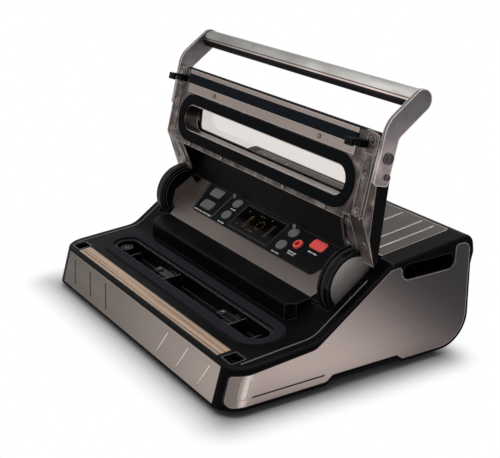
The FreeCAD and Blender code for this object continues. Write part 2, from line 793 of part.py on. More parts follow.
def rubber_foot(x, y):
    foot = Part.makeCylinder(FOOT_R, TRAY_Z, Vector(x, y, 0))
    rim = [edge for edge in foot.Edges if edge.BoundBox.ZMax < TRAY_Z / 2]
    return foot.makeChamfer(FOOT_CHAMFER, rim)


def bag_ledge():
    """Raised ledge in front of the control panel that closes the step to the deck."""
    low = deck_z(LEDGE_FRONT_Y) - WALL
    points = [(LEDGE_FRONT_Y, low), (PANEL_Y, low), (PANEL_Y, PANEL_Z), (LEDGE_FRONT_Y, LEDGE_FRONT_Z)]
    ledge = side_prism(points, -LEDGE_HALF, LEDGE_HALF, [0, 0, 0, LEDGE_EDGE_R])
    corner = outline([
        (LEDGE_HALF + OVER, LEDGE_FRONT_Y - OVER),
        (LEDGE_HALF + OVER, LEDGE_FRONT_Y + LEDGE_CHAMFER + OVER),
        (LEDGE_HALF - LEDGE_CHAMFER - OVER, LEDGE_FRONT_Y - OVER),
    ])
    chamfer = slab(corner, 0, FAR)
    top_drop = WALL * PANEL_Z / LEDGE_FRONT_Z
    inside = [
        (LEDGE_FRONT_Y + WALL, 0),
        (PANEL_Y - WALL, 0),
        (PANEL_Y - WALL, PANEL_Z - top_drop),
        (LEDGE_FRONT_Y + WALL, LEDGE_FRONT_Z - WALL),
    ]
    end = LEDGE_HALF - LEDGE_CHAMFER - WALL
    return ledge.cut([chamfer, mirrored(chamfer), side_prism(inside, -end, end), deck_shell(0.0)])


def housing_pieces():
    add("base_tray", base_tray())
    feet_y = (FOOT_INSET_Y, TRAY_BACK_Y - FOOT_INSET_Y)
    feet = [rubber_foot(side * (HALF - FOOT_INSET_X), y) for side in (-1, 1) for y in feet_y]
    add("rubber_feet", Part.makeCompound(feet))
    add("case_screws", Part.makeCompound([case_screw(x, y) for x, y in FRONT_BOSSES + REAR_BOSSES]))
    add("deck_housing", deck_housing())
    add("rear_cover", rear_cover())
    add("bag_ledge", bag_ledge())


# Steel skins
def front_groove(x, side):
    """Pressed groove in the front skin that leans outwards at its head."""
    middle = FRONT_HEIGHT / 2
    half = RIB_WIDTH / 2
    foot = side * x
    head = side * (x + FRONT_RIB_LEAN)
    low = middle - FRONT_RIB_LENGTH / 2
    high = middle + FRONT_RIB_LENGTH / 2
    wire = outline([(foot - half, low), (foot + half, low), (head + half, high), (head - half, high)])
    return in_frame(slab(wire, -RIB_DEPTH, OVER), FRONT_FRAME)


def top_groove(x, side):
    """Pressed groove in the rear top skin, from front to back."""
    length = TOP_PANEL_END_Y - SEAM_Y - TOP_RIB_MARGIN
    half = RIB_WIDTH / 2
    return in_frame(block(side * x - half, side * x + half, -OVER, length, -RIB_DEPTH, OVER), TOP_FRAME)


def side_press():
    """Pressed line along the right side skin, and a leaning dimple where it bends to the front."""
    half = RIB_WIDTH / 2
    line = block(HALF - RIB_DEPTH, HALF + OVER, *SIDE_RIB_Y, SIDE_RIB_Z - half, SIDE_RIB_Z + half)
    low, high = DIMPLE_Z
    front = SIDE_FRONT + DIMPLE_GAP
    low_y = front + FRONT_SLOPE * (low - BOTTOM_Z)
    high_y = front + FRONT_SLOPE * (high - BOTTOM_Z)
    points = [(low_y, low), (low_y + DIMPLE_W, low), (high_y + DIMPLE_W, high), (high_y, high)]
    return [line, side_layer(points, DIMPLE_R, RIB_DEPTH)]


def skin_pieces():
    front = front_skin(0.0, -SKIN, 0.0)
    add("front_panel", front.cut([front_groove(x, side) for x in FRONT_RIB_X for side in (-1, 1)]))
    right = side_skin(0.0).common(skin_body(0.0)).cut(side_press())
    add("side_panel_right", right)
    add("side_panel_left", mirrored(right))
    cuts = [top_groove(x, side) for x in TOP_RIB_X for side in (-1, 1)]
    cuts += [drum_space(), mirrored(drum_space())]
    add("rear_top_panel", top_skin(0.0, -SKIN, 0.0).cut(cuts))


# Sealing deck
def gasket_ring(mid, low, high):
    ring = slab(oblong(GASKET_HALF, GASKET_R, mid), low, high)
    return ring.cut(slab(oblong(GASKET_HALF - GASKET_W, GASKET_R - GASKET_W, mid), low, high))


def trough_tub():
    tub = slab(oblong(TROUGH_HALF, TROUGH_R, GASKET_MID), -TROUGH_DEEP, -GASKET_BED)
    return in_frame(tub, DECK_FRAME)


def hose_way(radius):
    """Round bar along the hose, from the middle of the trough to the pump."""
    start = Vector(PUMP_X, GASKET_MID, PUMP_Z)
    return Part.makeCylinder(radius, PUMP_Y - GASKET_MID, start, Y_AXIS)


def vacuum_trough():
    wire = oblong(TROUGH_HALF - TROUGH_WALL, TROUGH_R - TROUGH_WALL, GASKET_MID)
    bowl = in_frame(slab(wire, TROUGH_WALL - TROUGH_DEEP, OVER), DECK_FRAME)
    return trough_tub().cut([bowl, hose_way(HOSE_BORE_R)])


def bag_stop(x):
    """Stepped block that keeps the bag's end out of the suction port."""
    floor = TROUGH_WALL - TROUGH_DEEP
    half = STOP_LENGTH / 2
    wide = STOP_W / 2
    reach = TROUGH_R - TROUGH_WALL - SEAT_GAP
    wall = block(x - half, x + half, GASKET_MID - wide, GASKET_MID + wide, floor, -STOP_LOW)
    top = -STOP_LOW - STOP_STEP
    cross = block(x - wide, x + wide, GASKET_MID - reach, GASKET_MID + reach, floor, top)
    return wall.fuse(cross).removeSplitter()


def deck_pieces():
    half = WIRE_W / 2
    wire = block(-TAPE_HALF, TAPE_HALF, WIRE_V - half, WIRE_V + half, BAR_RISE - WIRE_T, BAR_RISE)
    bar = block(-TAPE_HALF, TAPE_HALF, TAPE_FRONT, TAPE_BACK, -BAR_DEEP, BAR_RISE)
    tape = block(-TAPE_HALF, TAPE_HALF, TAPE_FRONT, TAPE_BACK, BAR_RISE, BAR_RISE + TAPE_T)
    add("heater_bar", bar.cut(wire), DECK_FRAME)
    add("heating_wire", wire, DECK_FRAME)
    add("seal_tape", tape, DECK_FRAME)
    add("lower_gasket", gasket_ring(GASKET_MID, -GASKET_BED, GASKET_H), DECK_FRAME)
    add("vacuum_trough", vacuum_trough())
    add("bag_stops", Part.makeCompound([bag_stop(x) for x in STOP_X]), DECK_FRAME)


# Control panel
def key_wire(x, s, size, grow):
    """Outline of a key, grown by a gap."""
    width, length, radius = size
    half = width / 2 + grow
    high = length / 2 + grow
    return rectangle(x - half, x + half, s - high, s + high, radius + grow)


def overlay_wire():
    foot_half = HALF - OVERLAY_FOOT_INSET
    top_half = HALF - OVERLAY_TOP_INSET
    top = OVERLAY_FOOT + OVERLAY_LENGTH
    points = [(-foot_half, OVERLAY_FOOT), (foot_half, OVERLAY_FOOT), (top_half, top), (-top_half, top)]
    return outline(points, OVERLAY_R)


def plate_tab():
    """Upturned tab beside the right drum, lower at its front end."""
    end = TAB_FROM + TAB_LENGTH
    points = [
        (TAB_FROM, -PANEL_T),
        (end, -PANEL_T),
        (end, TAB_H),
        (TAB_FROM + TAB_RISE, TAB_H),
        (TAB_FROM, TAB_FRONT_H),
    ]
    return side_prism(points, PANEL_HALF - PANEL_T, PANEL_HALF)


def control_plate(holes):
    """Sloping plate with an upturned tab beside each drum."""
    step = PANEL_FOOT_HALF + PANEL_NOTCH_STEP
    right = [
        (PANEL_FOOT_HALF, 0),
        (step, PANEL_NOTCH),
        (PANEL_HALF, PANEL_NOTCH),
        (PANEL_HALF, PANEL_LENGTH),
    ]
    left = [(-x, s) for x, s in reversed(right)]
    plate = slab(outline(right + left), -PANEL_T, 0)
    tab = plate_tab()
    return plate.fuse([tab, mirrored(tab)]).removeSplitter().cut(holes)


def key_cap(x, s, size):
    """Key with a rounded top, and a flange under the plate that keeps it in."""
    top = OVERLAY_T + KEY_RISE
    seat = -PANEL_T - KEY_GAP
    cap = slab(key_wire(x, s, size, 0.0), seat, top)
    rim = [edge for edge in cap.Edges if edge.BoundBox.ZMin > top - KEY_RISE / 2]
    flange = slab(key_wire(x, s, size, KEY_FLANGE), seat - KEY_FLANGE_T, seat)
    return cap.makeFillet(KEY_RISE / 3, rim).fuse(flange).removeSplitter()


def accessory_port():
    top = OVERLAY_T + PORT_RISE
    foot = Vector(PORT_X, PORT_S, top - PORT_LENGTH)
    port = Part.makeCylinder(PORT_R, PORT_LENGTH, foot)
    rim = [edge for edge in port.Edges if edge.BoundBox.ZMin > top - PORT_RISE]
    return port.makeFillet(PORT_EDGE_R, rim).cut(Part.makeCylinder(PORT_BORE_R, PORT_LENGTH, foot))


def control_pieces():
    deep = PORT_LENGTH + PANEL_T
    port_way = Part.makeCylinder(PORT_R, 2 * deep, Vector(PORT_X, PORT_S, -deep))
    holes = [slab(key_wire(*place, KEY_GAP), -deep, deep) for place in KEY_PLACES.values()] + [port_way]
    display_top = DISPLAY_FOOT + DISPLAY_L
    display = rectangle(DISPLAY_LEFT, DISPLAY_RIGHT, DISPLAY_FOOT, display_top, DISPLAY_R)
    window = slab(display, 0, DISPLAY_T)
    add("control_plate", control_plate(holes), PANEL_FRAME)
    add("key_overlay", slab(overlay_wire(), 0, OVERLAY_T).cut(holes + [window]), PANEL_FRAME)
    add("display_window", window, PANEL_FRAME)
    add("control_board", slab(board_wire(), -BOARD_DROP - BOARD_T, -BOARD_DROP).cut(port_way), PANEL_FRAME)
    add("accessory_port", accessory_port(), PANEL_FRAME)
    for name, place in KEY_PLACES.items():
        add(name, key_cap(*place), PANEL_FRAME)


# Hinge
def drum_envelope():
    """Full round of the right hinge drum, in the lid's frame."""
    flange = bar_x(DRUM_FLANGE_R, DRUM_IN_X, DRUM_IN_X + DRUM_FLANGE_T)
    return flange.fuse(bar_x(DRUM_R, DRUM_IN_X, DRUM_OUT_X)).removeSplitter()


def hinge_pieces():
    drum = drum_envelope().cut([
        bar_x(DRUM_R - DRUM_RIM, DRUM_OUT_X - CAP_SINK, DRUM_OUT_X),
        bar_x(CAP_R, CAP_FLOOR_X, DRUM_OUT_X),
        bar_x(PIN_R + PIN_GAP, DRUM_IN_X, CAP_FLOOR_X - PIN_END_GAP / 2),
    ])
    add("hinge_drum_right", drum, LID_FRAME)
    add("hinge_drum_left", mirrored(drum), LID_FRAME)
    add("drum_caps", both_sides(bar_x(CAP_R, CAP_FLOOR_X, CAP_FLOOR_X + CAP_T)), LID_FRAME)
    add("hinge_pins", both_sides(bar_x(PIN_R, PIN_IN_X, CAP_FLOOR_X - PIN_END_GAP, HINGE_Y, HINGE_Z)))


# Lid
def lid_skin_w(u):
    """Outside of the lid, as a height in the lid's frame."""
    if u > LID_KINK_U:
        return LID_KINK_W + (LID_EDGE_W - LID_KINK_W) * (u - LID_KINK_U) / (LID_FRONT_U - LID_KINK_U)
    return LID_KINK_W + (LID_REAR_W - LID_KINK_W) * (LID_KINK_U - u) / (LID_KINK_U - LID_REAR_U)


def lid_plan(shape, inset):
    """Rounds the lid's front corners in plan."""
    corner = LID_CORNER_R - inset
    half = LID_HALF - inset
    plan = rectangle(-half, half, inset - LID_FRONT_U, 0, [corner, corner, 0, 0])
    return shape.common(slab(plan, -FAR, FAR))


def bolt_holes():
    holes = []
    for u, w, head_r, shank_r in BOLTS:
        hole = bar_x(shank_r, LID_HALF - LID_SKIN_T, LID_HALF + ARM_T, -u, w)
        holes += [hole, mirrored(hole)]
    return holes


def lid_shell():
    points = [
        (LID_FRONT_U, SPLIT_FRONT_W),
        (LID_FRONT_U, LID_EDGE_W),
        (LID_KINK_U, LID_KINK_W),
        (LID_REAR_U, LID_REAR_W),
        (LID_TIP_U, LID_TIP_W),
        (SPLIT_KNEE_U, SPLIT_KNEE_W),
        (SPLIT_MID_U, SPLIT_MID_W),
    ]
    outer = lid_prism(points, -LID_HALF, LID_HALF, [0, LID_EDGE_R, LID_KINK_R, 0, 0, 0, 0])
    front = LID_FRONT_U - LID_SKIN_T
    rear = LID_TIP_U - LID_SKIN_T
    inside = [
        (front, -FAR),
        (front, lid_skin_w(front) - LID_SKIN_T),
        (LID_KINK_U, LID_KINK_W - LID_SKIN_T),
        (rear, lid_skin_w(rear) - LID_SKIN_T),
        (rear, -FAR),
    ]
    half = LID_HALF - LID_SKIN_T
    hollow = lid_prism(inside, -half, half, [0, 0, LID_KINK_R + LID_SKIN_T, 0, 0])
    high = WINDOW_HIGH / 2
    wire = rectangle(-WINDOW_HALF, WINDOW_HALF, -GASKET_U - high, high - GASKET_U, WINDOW_R)
    cuts = [lid_plan(hollow, LID_SKIN_T), slab(wire, -FAR, FAR), drum_envelope(), mirrored(drum_envelope())]
    return lid_plan(outer, 0.0).cut(cuts + bolt_holes())


def lid_screw_places():
    """Place (x, u) of each screw in the lid's inside, and the height of its seat."""
    bar_u = PLATE_REAR_U + SCREW_R + SCREW_EDGE
    places = [(LID_HALF - SCREW_INSET, u, LID_INNER_W) for u in SCREW_RAIL_U]
    places += [(x, bar_u, LID_INNER_W) for x in SCREW_BAR_X]
    places.append((STRIP_SCREW_X, PAD_REAR_U - REAR_STRIP_W / 2, LID_INNER_W - STRIP_T))
    return [(side * x, u, seat) for x, u, seat in places for side in (-1, 1)]


def lid_screw_hole(x, u, seat):
    return Part.makeCylinder(SCREW_SHANK_R, SCREW_DEEP, Vector(x, -u, seat))


def lid_screw(x, u, seat):
    low = seat - SCREW_HEAD
    half = SCREW_SLOT / 2
    head = Part.makeCylinder(SCREW_R, SCREW_HEAD, Vector(x, -u, low))
    slot = block(x - SCREW_R, x + SCREW_R, -u - half, half - u, low, low + half)
    return head.cut(slot).fuse(lid_screw_hole(x, u, seat)).removeSplitter()


def lid_frame():
    edge = RAIL_IN_X + RAIL_LAP
    plate = block(-edge, edge, -LID_FRONT_U, -PLATE_REAR_U, LID_INNER_W, SPLIT_FRONT_W)
    points = [
        (LID_FRONT_U, LID_INNER_W),
        (LID_FRONT_U, SPLIT_FRONT_W),
        (SPLIT_MID_U, SPLIT_MID_W),
        (SPLIT_KNEE_U, SPLIT_KNEE_W),
        (LID_TIP_U, LID_TIP_W),
        (LID_BEND_U, LID_INNER_W),
    ]
    rail = lid_prism(points, RAIL_IN_X, LID_HALF)
    frame = lid_plan(plate.fuse([rail, mirrored(rail)]).removeSplitter(), 0.0)
    opening = slab(oblong(GASKET_HALF - GASKET_W, GASKET_R - GASKET_W, -GASKET_U), -FAR, FAR)
    holes = [lid_screw_hole(*place) for place in lid_screw_places()]
    return frame.cut([opening, drum_envelope(), mirrored(drum_envelope())] + holes)


def lid_window():
    """Clear pane against the inside of the lid's skin."""
    reach = WINDOW_HIGH / 2 + WINDOW_LAP
    top = [(u, lid_skin_w(u) - LID_SKIN_T) for u in (GASKET_U - reach, GASKET_U + reach)]
    under = [(u, w - WINDOW_T) for u, w in reversed(top)]
    return lid_prism(top + under, -WINDOW_HALF - WINDOW_LAP, WINDOW_HALF + WINDOW_LAP)


def lid_hook():
    """Right hook, with a notch at its back that the latch tongue enters."""
    low = LID_INNER_W - HOOK_LENGTH
    left = CATCH_X - HOOK_W / 2
    right = left + HOOK_W
    eye_low = low + HOOK_FOOT
    hook = block(left, right, -HOOK_U - HOOK_T, -HOOK_U, low, LID_INNER_W)
    return hook.cut(block(left, right, HOOK_WEB - HOOK_U - HOOK_T, -HOOK_U, eye_low, eye_low + HOOK_EYE))


def lid_strip(rear_u, width, thickness):
    """Flat strip across the inside of the lid."""
    front = -rear_u - width
    return block(-PAD_HALF, PAD_HALF, front, -rear_u, LID_INNER_W - thickness, LID_INNER_W)


def lid_pieces():
    places = lid_screw_places()
    rear_strip = lid_strip(PAD_REAR_U - REAR_STRIP_W, REAR_STRIP_W, STRIP_T)
    add("lid_shell", lid_shell(), LID_FRAME)
    add("lid_frame", lid_frame(), LID_FRAME)
    add("lid_window", lid_window(), LID_FRAME)
    add("upper_gasket", gasket_ring(-GASKET_U, LID_INNER_W - UPPER_GASKET_H, LID_INNER_W), LID_FRAME)
    add("seal_pad", lid_strip(PAD_REAR_U, PAD_W, PAD_H), LID_FRAME)
    add("front_strip", lid_strip(PAD_FRONT_U, FRONT_STRIP_W, STRIP_T), LID_FRAME)
    add("rear_strip", rear_strip.cut([lid_screw_hole(*place) for place in places]), LID_FRAME)
    add("lid_screws", Part.makeCompound([lid_screw(*place) for place in places]), LID_FRAME)
    add("lid_hooks", both_sides(lid_hook()), LID_FRAME)


# Handle
def handle_arm():
    """Right arm: a straight foot on the lid, then a bend up to a round end about the tube."""
    tube = Vector(TUBE_U, TUBE_W, 0)
    low = LID_INNER_W
    high = LID_INNER_W + ARM_W
    ahead = (tube - Vector(ARM_BEND_U, (low + high) / 2, 0)).normalize()
    across = Vector(-ahead.y, ahead.x, 0)
    tip_r = TUBE_R + ARM_TIP
    under = tube + (ahead - across) * tip_r
    over = tube + (ahead + across) * tip_r
    under_bend_u = under.x - ahead.x * (under.y - low) / ahead.y
    over_bend_u = over.x - ahead.x * (over.y - high) / ahead.y
    points = [
        (ARM_FOOT_U, low),
        (under_bend_u, low),
        (under.x, under.y),
        (over.x, over.y),
        (over_bend_u, high),
        (ARM_FOOT_U, high),
    ]
    round_r = tip_r - RUN_GAP / 10
    radii = [ARM_FOOT_R, ARM_UNDER_BEND_R, round_r, round_r, ARM_OVER_BEND_R, ARM_FOOT_R]
    return lid_prism(points, LID_HALF, LID_HALF + ARM_T, radii).cut(bolt_holes())


def handle_bolt(u, w, head_r, shank_r):
    outside = LID_HALF + ARM_T
    top = outside + BOLT_HEAD_T
    half = BOLT_SLOT / 2
    slot = block(top - half, top, -u - head_r, head_r - u, w - half, w + half)
    shank = bar_x(shank_r, LID_HALF - LID_SKIN_T, outside, -u, w)
    return bar_x(head_r, outside, top, -u, w).cut(slot).fuse(shank).removeSplitter()


def handle_pieces():
    arm = handle_arm()
    bolts = [handle_bolt(*place) for place in BOLTS]
    tube = bar_x(TUBE_R, -LID_HALF, LID_HALF, -TUBE_U, TUBE_W)
    bore = bar_x(TUBE_R - TUBE_WALL, -LID_HALF, LID_HALF, -TUBE_U, TUBE_W)
    add("handle_arm_right", arm, LID_FRAME)
    add("handle_arm_left", mirrored(arm), LID_FRAME)
    add("handle_bolts", Part.makeCompound(bolts + [mirrored(bolt) for bolt in bolts]), LID_FRAME)
    add("handle_tube", tube.cut(bore), LID_FRAME)


# Latch
def latch_bar(lug_x):
    """Bar under both catch holes, with a tongue for each hook and a lug for the spring."""
    back = LATCH_FRONT + LATCH_BAR_W
    low = LATCH_TOP - LATCH_BAR_H
    tips = [side * CATCH_X - HOOK_W / 2 - TONGUE_REST for side in (-1, 1)]
    feet = [tip - TONGUE_LENGTH for tip in tips]
    tongue_front = EYE_FRONT + TONGUE_GAP
    tongue_back = tongue_front + TONGUE_W
    tongue_low = EYE_LOW + (HOOK_EYE - TONGUE_H) / 2
    pieces = [block(lug_x - LUG_T, lug_x, LATCH_FRONT, back, low, LATCH_TOP + LUG_H)]
    for foot, tip in zip(feet, tips):
        high = tongue_low + TONGUE_H
        pieces.append(block(foot, foot + TONGUE_POST, tongue_front, tongue_back, low, high))
        pieces.append(block(foot, tip, tongue_front, tongue_back, tongue_low, high))
    bar = block(feet[0], feet[1] + TONGUE_POST, LATCH_FRONT, back, low, LATCH_TOP)
    return bar.fuse(pieces).removeSplitter()


def latch_guide(x):
    """Post on the tray with a slot that the latch bar slides through."""
    half = GUIDE_W / 2
    back = LATCH_FRONT + LATCH_BAR_W
    low = LATCH_TOP - LATCH_BAR_H
    front_wall = LATCH_FRONT - RUN_GAP - GUIDE_WALL
    back_wall = back + RUN_GAP + GUIDE_WALL
    outer = block(x - half, x + half, front_wall, back_wall, -DECK_Z, LATCH_TOP + LUG_H)
    slot_top = LATCH_TOP + RUN_GAP
    slot = block(x - half, x + half, LATCH_FRONT - RUN_GAP, back + RUN_GAP, low - RUN_GAP, slot_top)
    below = block(-HALF, HALF, 0, DEPTH, -DECK_Z, TRAY_TOP)
    return in_frame(outer.cut(slot), DECK_FRAME).cut(below)


def coil_point(start, length, turn):
    """Point on the spring's middle line, so many turns from its start."""
    angle = 2 * math.pi * turn
    offset = Vector(length * turn / SPRING_TURNS, SPRING_R * math.cos(angle), SPRING_R * math.sin(angle))
    return start + offset


def coil_gap(start, length):
    """Least gap between a turn and the next, on points an eighth of a turn apart."""
    points = [coil_point(start, length, i / 8) for i in range(8 * SPRING_TURNS + 1)]
    gaps = [a.distanceToPoint(b) for i, a in enumerate(points) for b in points[i + 5:]]
    return min(gaps) - 2 * SPRING_WIRE_R


def coil_spring(start, length):
    """Round wire wound along x, made of quarter turns."""
    edges = []
    for i in range(4 * SPRING_TURNS):
        ends = [coil_point(start, length, (i + share) / 4) for share in (0, 0.5, 1)]
        edges.append(Part.Arc(*ends).toShape())
    heading = edges[0].tangentAt(edges[0].FirstParameter)
    section = Part.Wire([Part.makeCircle(SPRING_WIRE_R, coil_point(start, length, 0), heading)])
    print("latch_spring least gap", round(coil_gap(start, length), 3))
    return Part.Wire(edges).makePipeShell([section], True, False)


def latch_pieces():
    guide_face = GUIDE_X - GUIDE_W / 2
    lug_x = guide_face - SPRING_LENGTH
    inset = SPRING_WIRE_R + SEAT_GAP
    start = Vector(lug_x + inset, LATCH_FRONT + LATCH_BAR_W / 2, LATCH_TOP + LUG_H / 2)
    add("latch_bar", latch_bar(lug_x), DECK_FRAME)
    add("latch_guides", Part.makeCompound([latch_guide(side * GUIDE_X) for side in (-1, 1)]))
    add("latch_spring", coil_spring(start, SPRING_LENGTH - 2 * inset), DECK_FRAME)


# Works inside the rear cover
def pump_cradle(pump, motor):
    """Saddle on the tray under the pump and its motor."""
    left = PUMP_X - PUMP_LENGTH / 2
    right = PUMP_X + PUMP_LENGTH / 2 + MOTOR_LENGTH
    half = CRADLE_W / 2
    saddle = block(left, right, PUMP_Y - half, PUMP_Y + half, TRAY_TOP, TRAY_TOP + CRADLE_RISE)
    return saddle.cut([pump, motor])


def works_pieces():
    pump_right = PUMP_X + PUMP_LENGTH / 2
    pump = bar_x(PUMP_R, pump_right - PUMP_LENGTH, pump_right, PUMP_Y, PUMP_Z)
    motor = bar_x(MOTOR_R, pump_right, pump_right + MOTOR_LENGTH, PUMP_Y, PUMP_Z)
    core_left = TRANSFORMER_X - TRANSFORMER_W / 2
    core_front = PUMP_Y - TRANSFORMER_D / 2
    core = Part.makeBox(TRANSFORMER_W, TRANSFORMER_D, TRANSFORMER_H, Vector(core_left, core_front, TRAY_TOP))
    valve = Part.makeCylinder(VALVE_R, PUMP_Z - TRAY_TOP, Vector(PUMP_X, VALVE_Y, TRAY_TOP))
    hose = hose_way(HOSE_R).cut([hose_way(HOSE_BORE_R), trough_tub(), pump])
    socket = inlet_box(INLET_WALL)
    add("vacuum_pump", pump)
    add("pump_motor", motor)
    add("pump_cradle", pump_cradle(pump, motor))
    add("transformer", core)
    add("release_valve", valve.cut(hose_way(HOSE_R)))
    add("vacuum_hose", hose)
    add("power_inlet", inlet_box(0.0).cut([socket, in_frame(socket, backwards(INLET_WALL))]))


def main():
    housing_pieces()
    skin_pieces()
    deck_pieces()
    control_pieces()
    hinge_pieces()
    lid_pieces()
    handle_pieces()
    latch_pieces()
    works_pieces()
    os.makedirs("parts", exist_ok=True)
    for name, shape in NODES.items():
        shape = in_frame(shape, backwards(-DEPTH / 2))
        shape.exportStep("parts/" + name + ".step")
        print(name, len(shape.Solids), shape.isValid(), round(shape.Volume))


main()
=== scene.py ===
"""Looks of a countertop vacuum sealer: finishes, surface details, light and camera."""

import json
import math

import bmesh
import bpy
from mathutils import Matrix, Vector


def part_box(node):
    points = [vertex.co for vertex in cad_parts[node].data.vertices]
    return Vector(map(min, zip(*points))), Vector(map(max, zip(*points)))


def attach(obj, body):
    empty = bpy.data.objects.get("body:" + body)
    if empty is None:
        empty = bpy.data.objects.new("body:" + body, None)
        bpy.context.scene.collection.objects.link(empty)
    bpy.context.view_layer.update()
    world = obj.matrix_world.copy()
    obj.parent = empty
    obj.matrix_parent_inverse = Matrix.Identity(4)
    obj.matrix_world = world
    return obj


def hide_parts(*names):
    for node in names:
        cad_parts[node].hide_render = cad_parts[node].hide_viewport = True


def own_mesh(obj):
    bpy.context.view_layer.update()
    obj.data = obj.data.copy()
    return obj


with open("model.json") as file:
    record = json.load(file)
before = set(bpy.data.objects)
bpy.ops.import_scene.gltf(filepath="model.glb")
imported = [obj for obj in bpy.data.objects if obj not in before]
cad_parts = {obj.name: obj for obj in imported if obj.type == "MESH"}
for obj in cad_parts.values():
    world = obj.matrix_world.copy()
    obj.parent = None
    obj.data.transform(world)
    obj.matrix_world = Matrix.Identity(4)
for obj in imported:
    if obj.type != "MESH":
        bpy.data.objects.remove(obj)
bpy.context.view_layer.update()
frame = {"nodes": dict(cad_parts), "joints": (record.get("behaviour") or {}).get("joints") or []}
nodes = frame["nodes"]
joints = {joint["name"]: joint for joint in frame["joints"]}

MM = 0.001

# Sizes of the model that the details sit on, in millimetres and degrees
DECK_ORIGIN = (0, -142.5, 45.0)
DECK_TILT = 4.73
SLOPE_TILT = 35.3
SLOPE_FOOT_V = 101.85
SLOPE_BEND_R = 30.0
PANEL_ORIGIN = (0, -17.5, 74.6)
PANEL_TILT = 31.7
OVERLAY_TOP = 0.8
DISPLAY_TOP = 1.1
LID_INNER_W = -27.0
LID_FRONT_U = 146.0
PANE_W = -10.0
OPENING_U = 92.67
OPENING_HALF = 153.0
OPENING_R = 15.0
DRUM_IN_X = 157.0
DRUM_R = 34.5
TROUGH_MID = 68.0
TROUGH_FLOOR = -20.0
CATCH_X = 166.0
CATCH_V = (17.8, 32.0)
TUBE_U = 181.0
TUBE_W = 7.0
TUBE_R = 9.5
FRONT_ORIGIN = (0, -142.5, 6.5)
FRONT_TILT = 73.88
FRONT_MIDDLE = 20.67
FRONT_LINE_X = (58.0, 97.5, 138.0)
FRONT_LINE_LEAN = 13.0
FRONT_LINE_LENGTH = 26.5
TOP_ORIGIN = (0, 41.5, 111.81)
TOP_TILT = 7.3
TOP_LINE_X = (103.5, 133.5, 151.5)
TOP_LINE_LENGTH = 82.0
SIDE_X = 190.0
SIDE_LINE_Y = (-113.5, -34.5)
SIDE_LINE_Z = 17.8
PRESSED_W = 1.6
PRESSED_DEEP = 0.5
RAIL_BEND = (-68.0, -27.0)
RAIL_FOOT_TILT = 30.96
STOP_X = (-48.0, 84.0)
STOP_HALF = 15.0
STOP_TOP = -5.0


# Working frames that take millimetres; in the lid's frame y is -u and z is w
def turned(tilt):
    return Matrix.Rotation(math.radians(tilt), 4, "X")


def tilted(origin, tilt):
    """Frame at an origin in metres, leaning back by a tilt in degrees."""
    return Matrix.Translation(Vector(origin)) @ turned(tilt) @ Matrix.Scale(MM, 4)


hinge = joints["lid_hinge"]
PLAIN = Matrix.Scale(MM, 4)
DECK = tilted(Vector(DECK_ORIGIN) * MM, DECK_TILT)
PANEL = tilted(Vector(PANEL_ORIGIN) * MM, PANEL_TILT)
LID = tilted(hinge["pos_m"], DECK_TILT - hinge["range_deg"][1])
RAIL_FOOT = LID @ Matrix.Translation((0, *RAIL_BEND)) @ turned(RAIL_FOOT_TILT)
FRONT = tilted(Vector(FRONT_ORIGIN) * MM, FRONT_TILT)
TOP = tilted(Vector(TOP_ORIGIN) * MM, TOP_TILT)
SIDEWAYS = Matrix(((0, 0, MM, 0), (MM, 0, 0, 0), (0, MM, 0, 0), (0, 0, 0, 1)))


# Finishes
def tone(red, green, blue):
    """Colour as it is seen, in steps of 255, as the linear colour that a shader takes."""
    steps = [value / 255 for value in (red, green, blue)]
    linear = [s / 12.92 if s <= 0.04045 else ((s + 0.055) / 1.055) ** 2.4 for s in steps]
    return (*linear, 1.0)


def faint(color, strength):
    """Colour with a strength from 0 to 1 as its alpha."""
    return (*color[:3], strength)


# Settings that finishes share: shares from 0 to 1, lengths in metres, scales per metre
WHITE = tone(255, 255, 255)
ACROSS = (1, 0, 0)
UP = (0, 0, 1)
WHOLE_X = (-0.17, 0.17)
INNER_X = (-0.16, 0.16)
WHOLE_Z = (0.0, 0.24)
STREAK_SHARE = 0.34
CLOUD_SHARE = 0.3
CLOUD_SCALE = 9.0
# Widths of the painted highlights along edges
EDGE_W = 0.0012
FINE_EDGE_W = 0.0006
CAST_EDGE_W = 0.001
GLINT_W = 0.0014
BRUSH_BUMP = 0.12
BRUSH_DEPTH = 0.0002
MATT_SPECULAR = 0.03
BLOOM_SCALE = 14.0
BLOOM_LIFT = 1.7


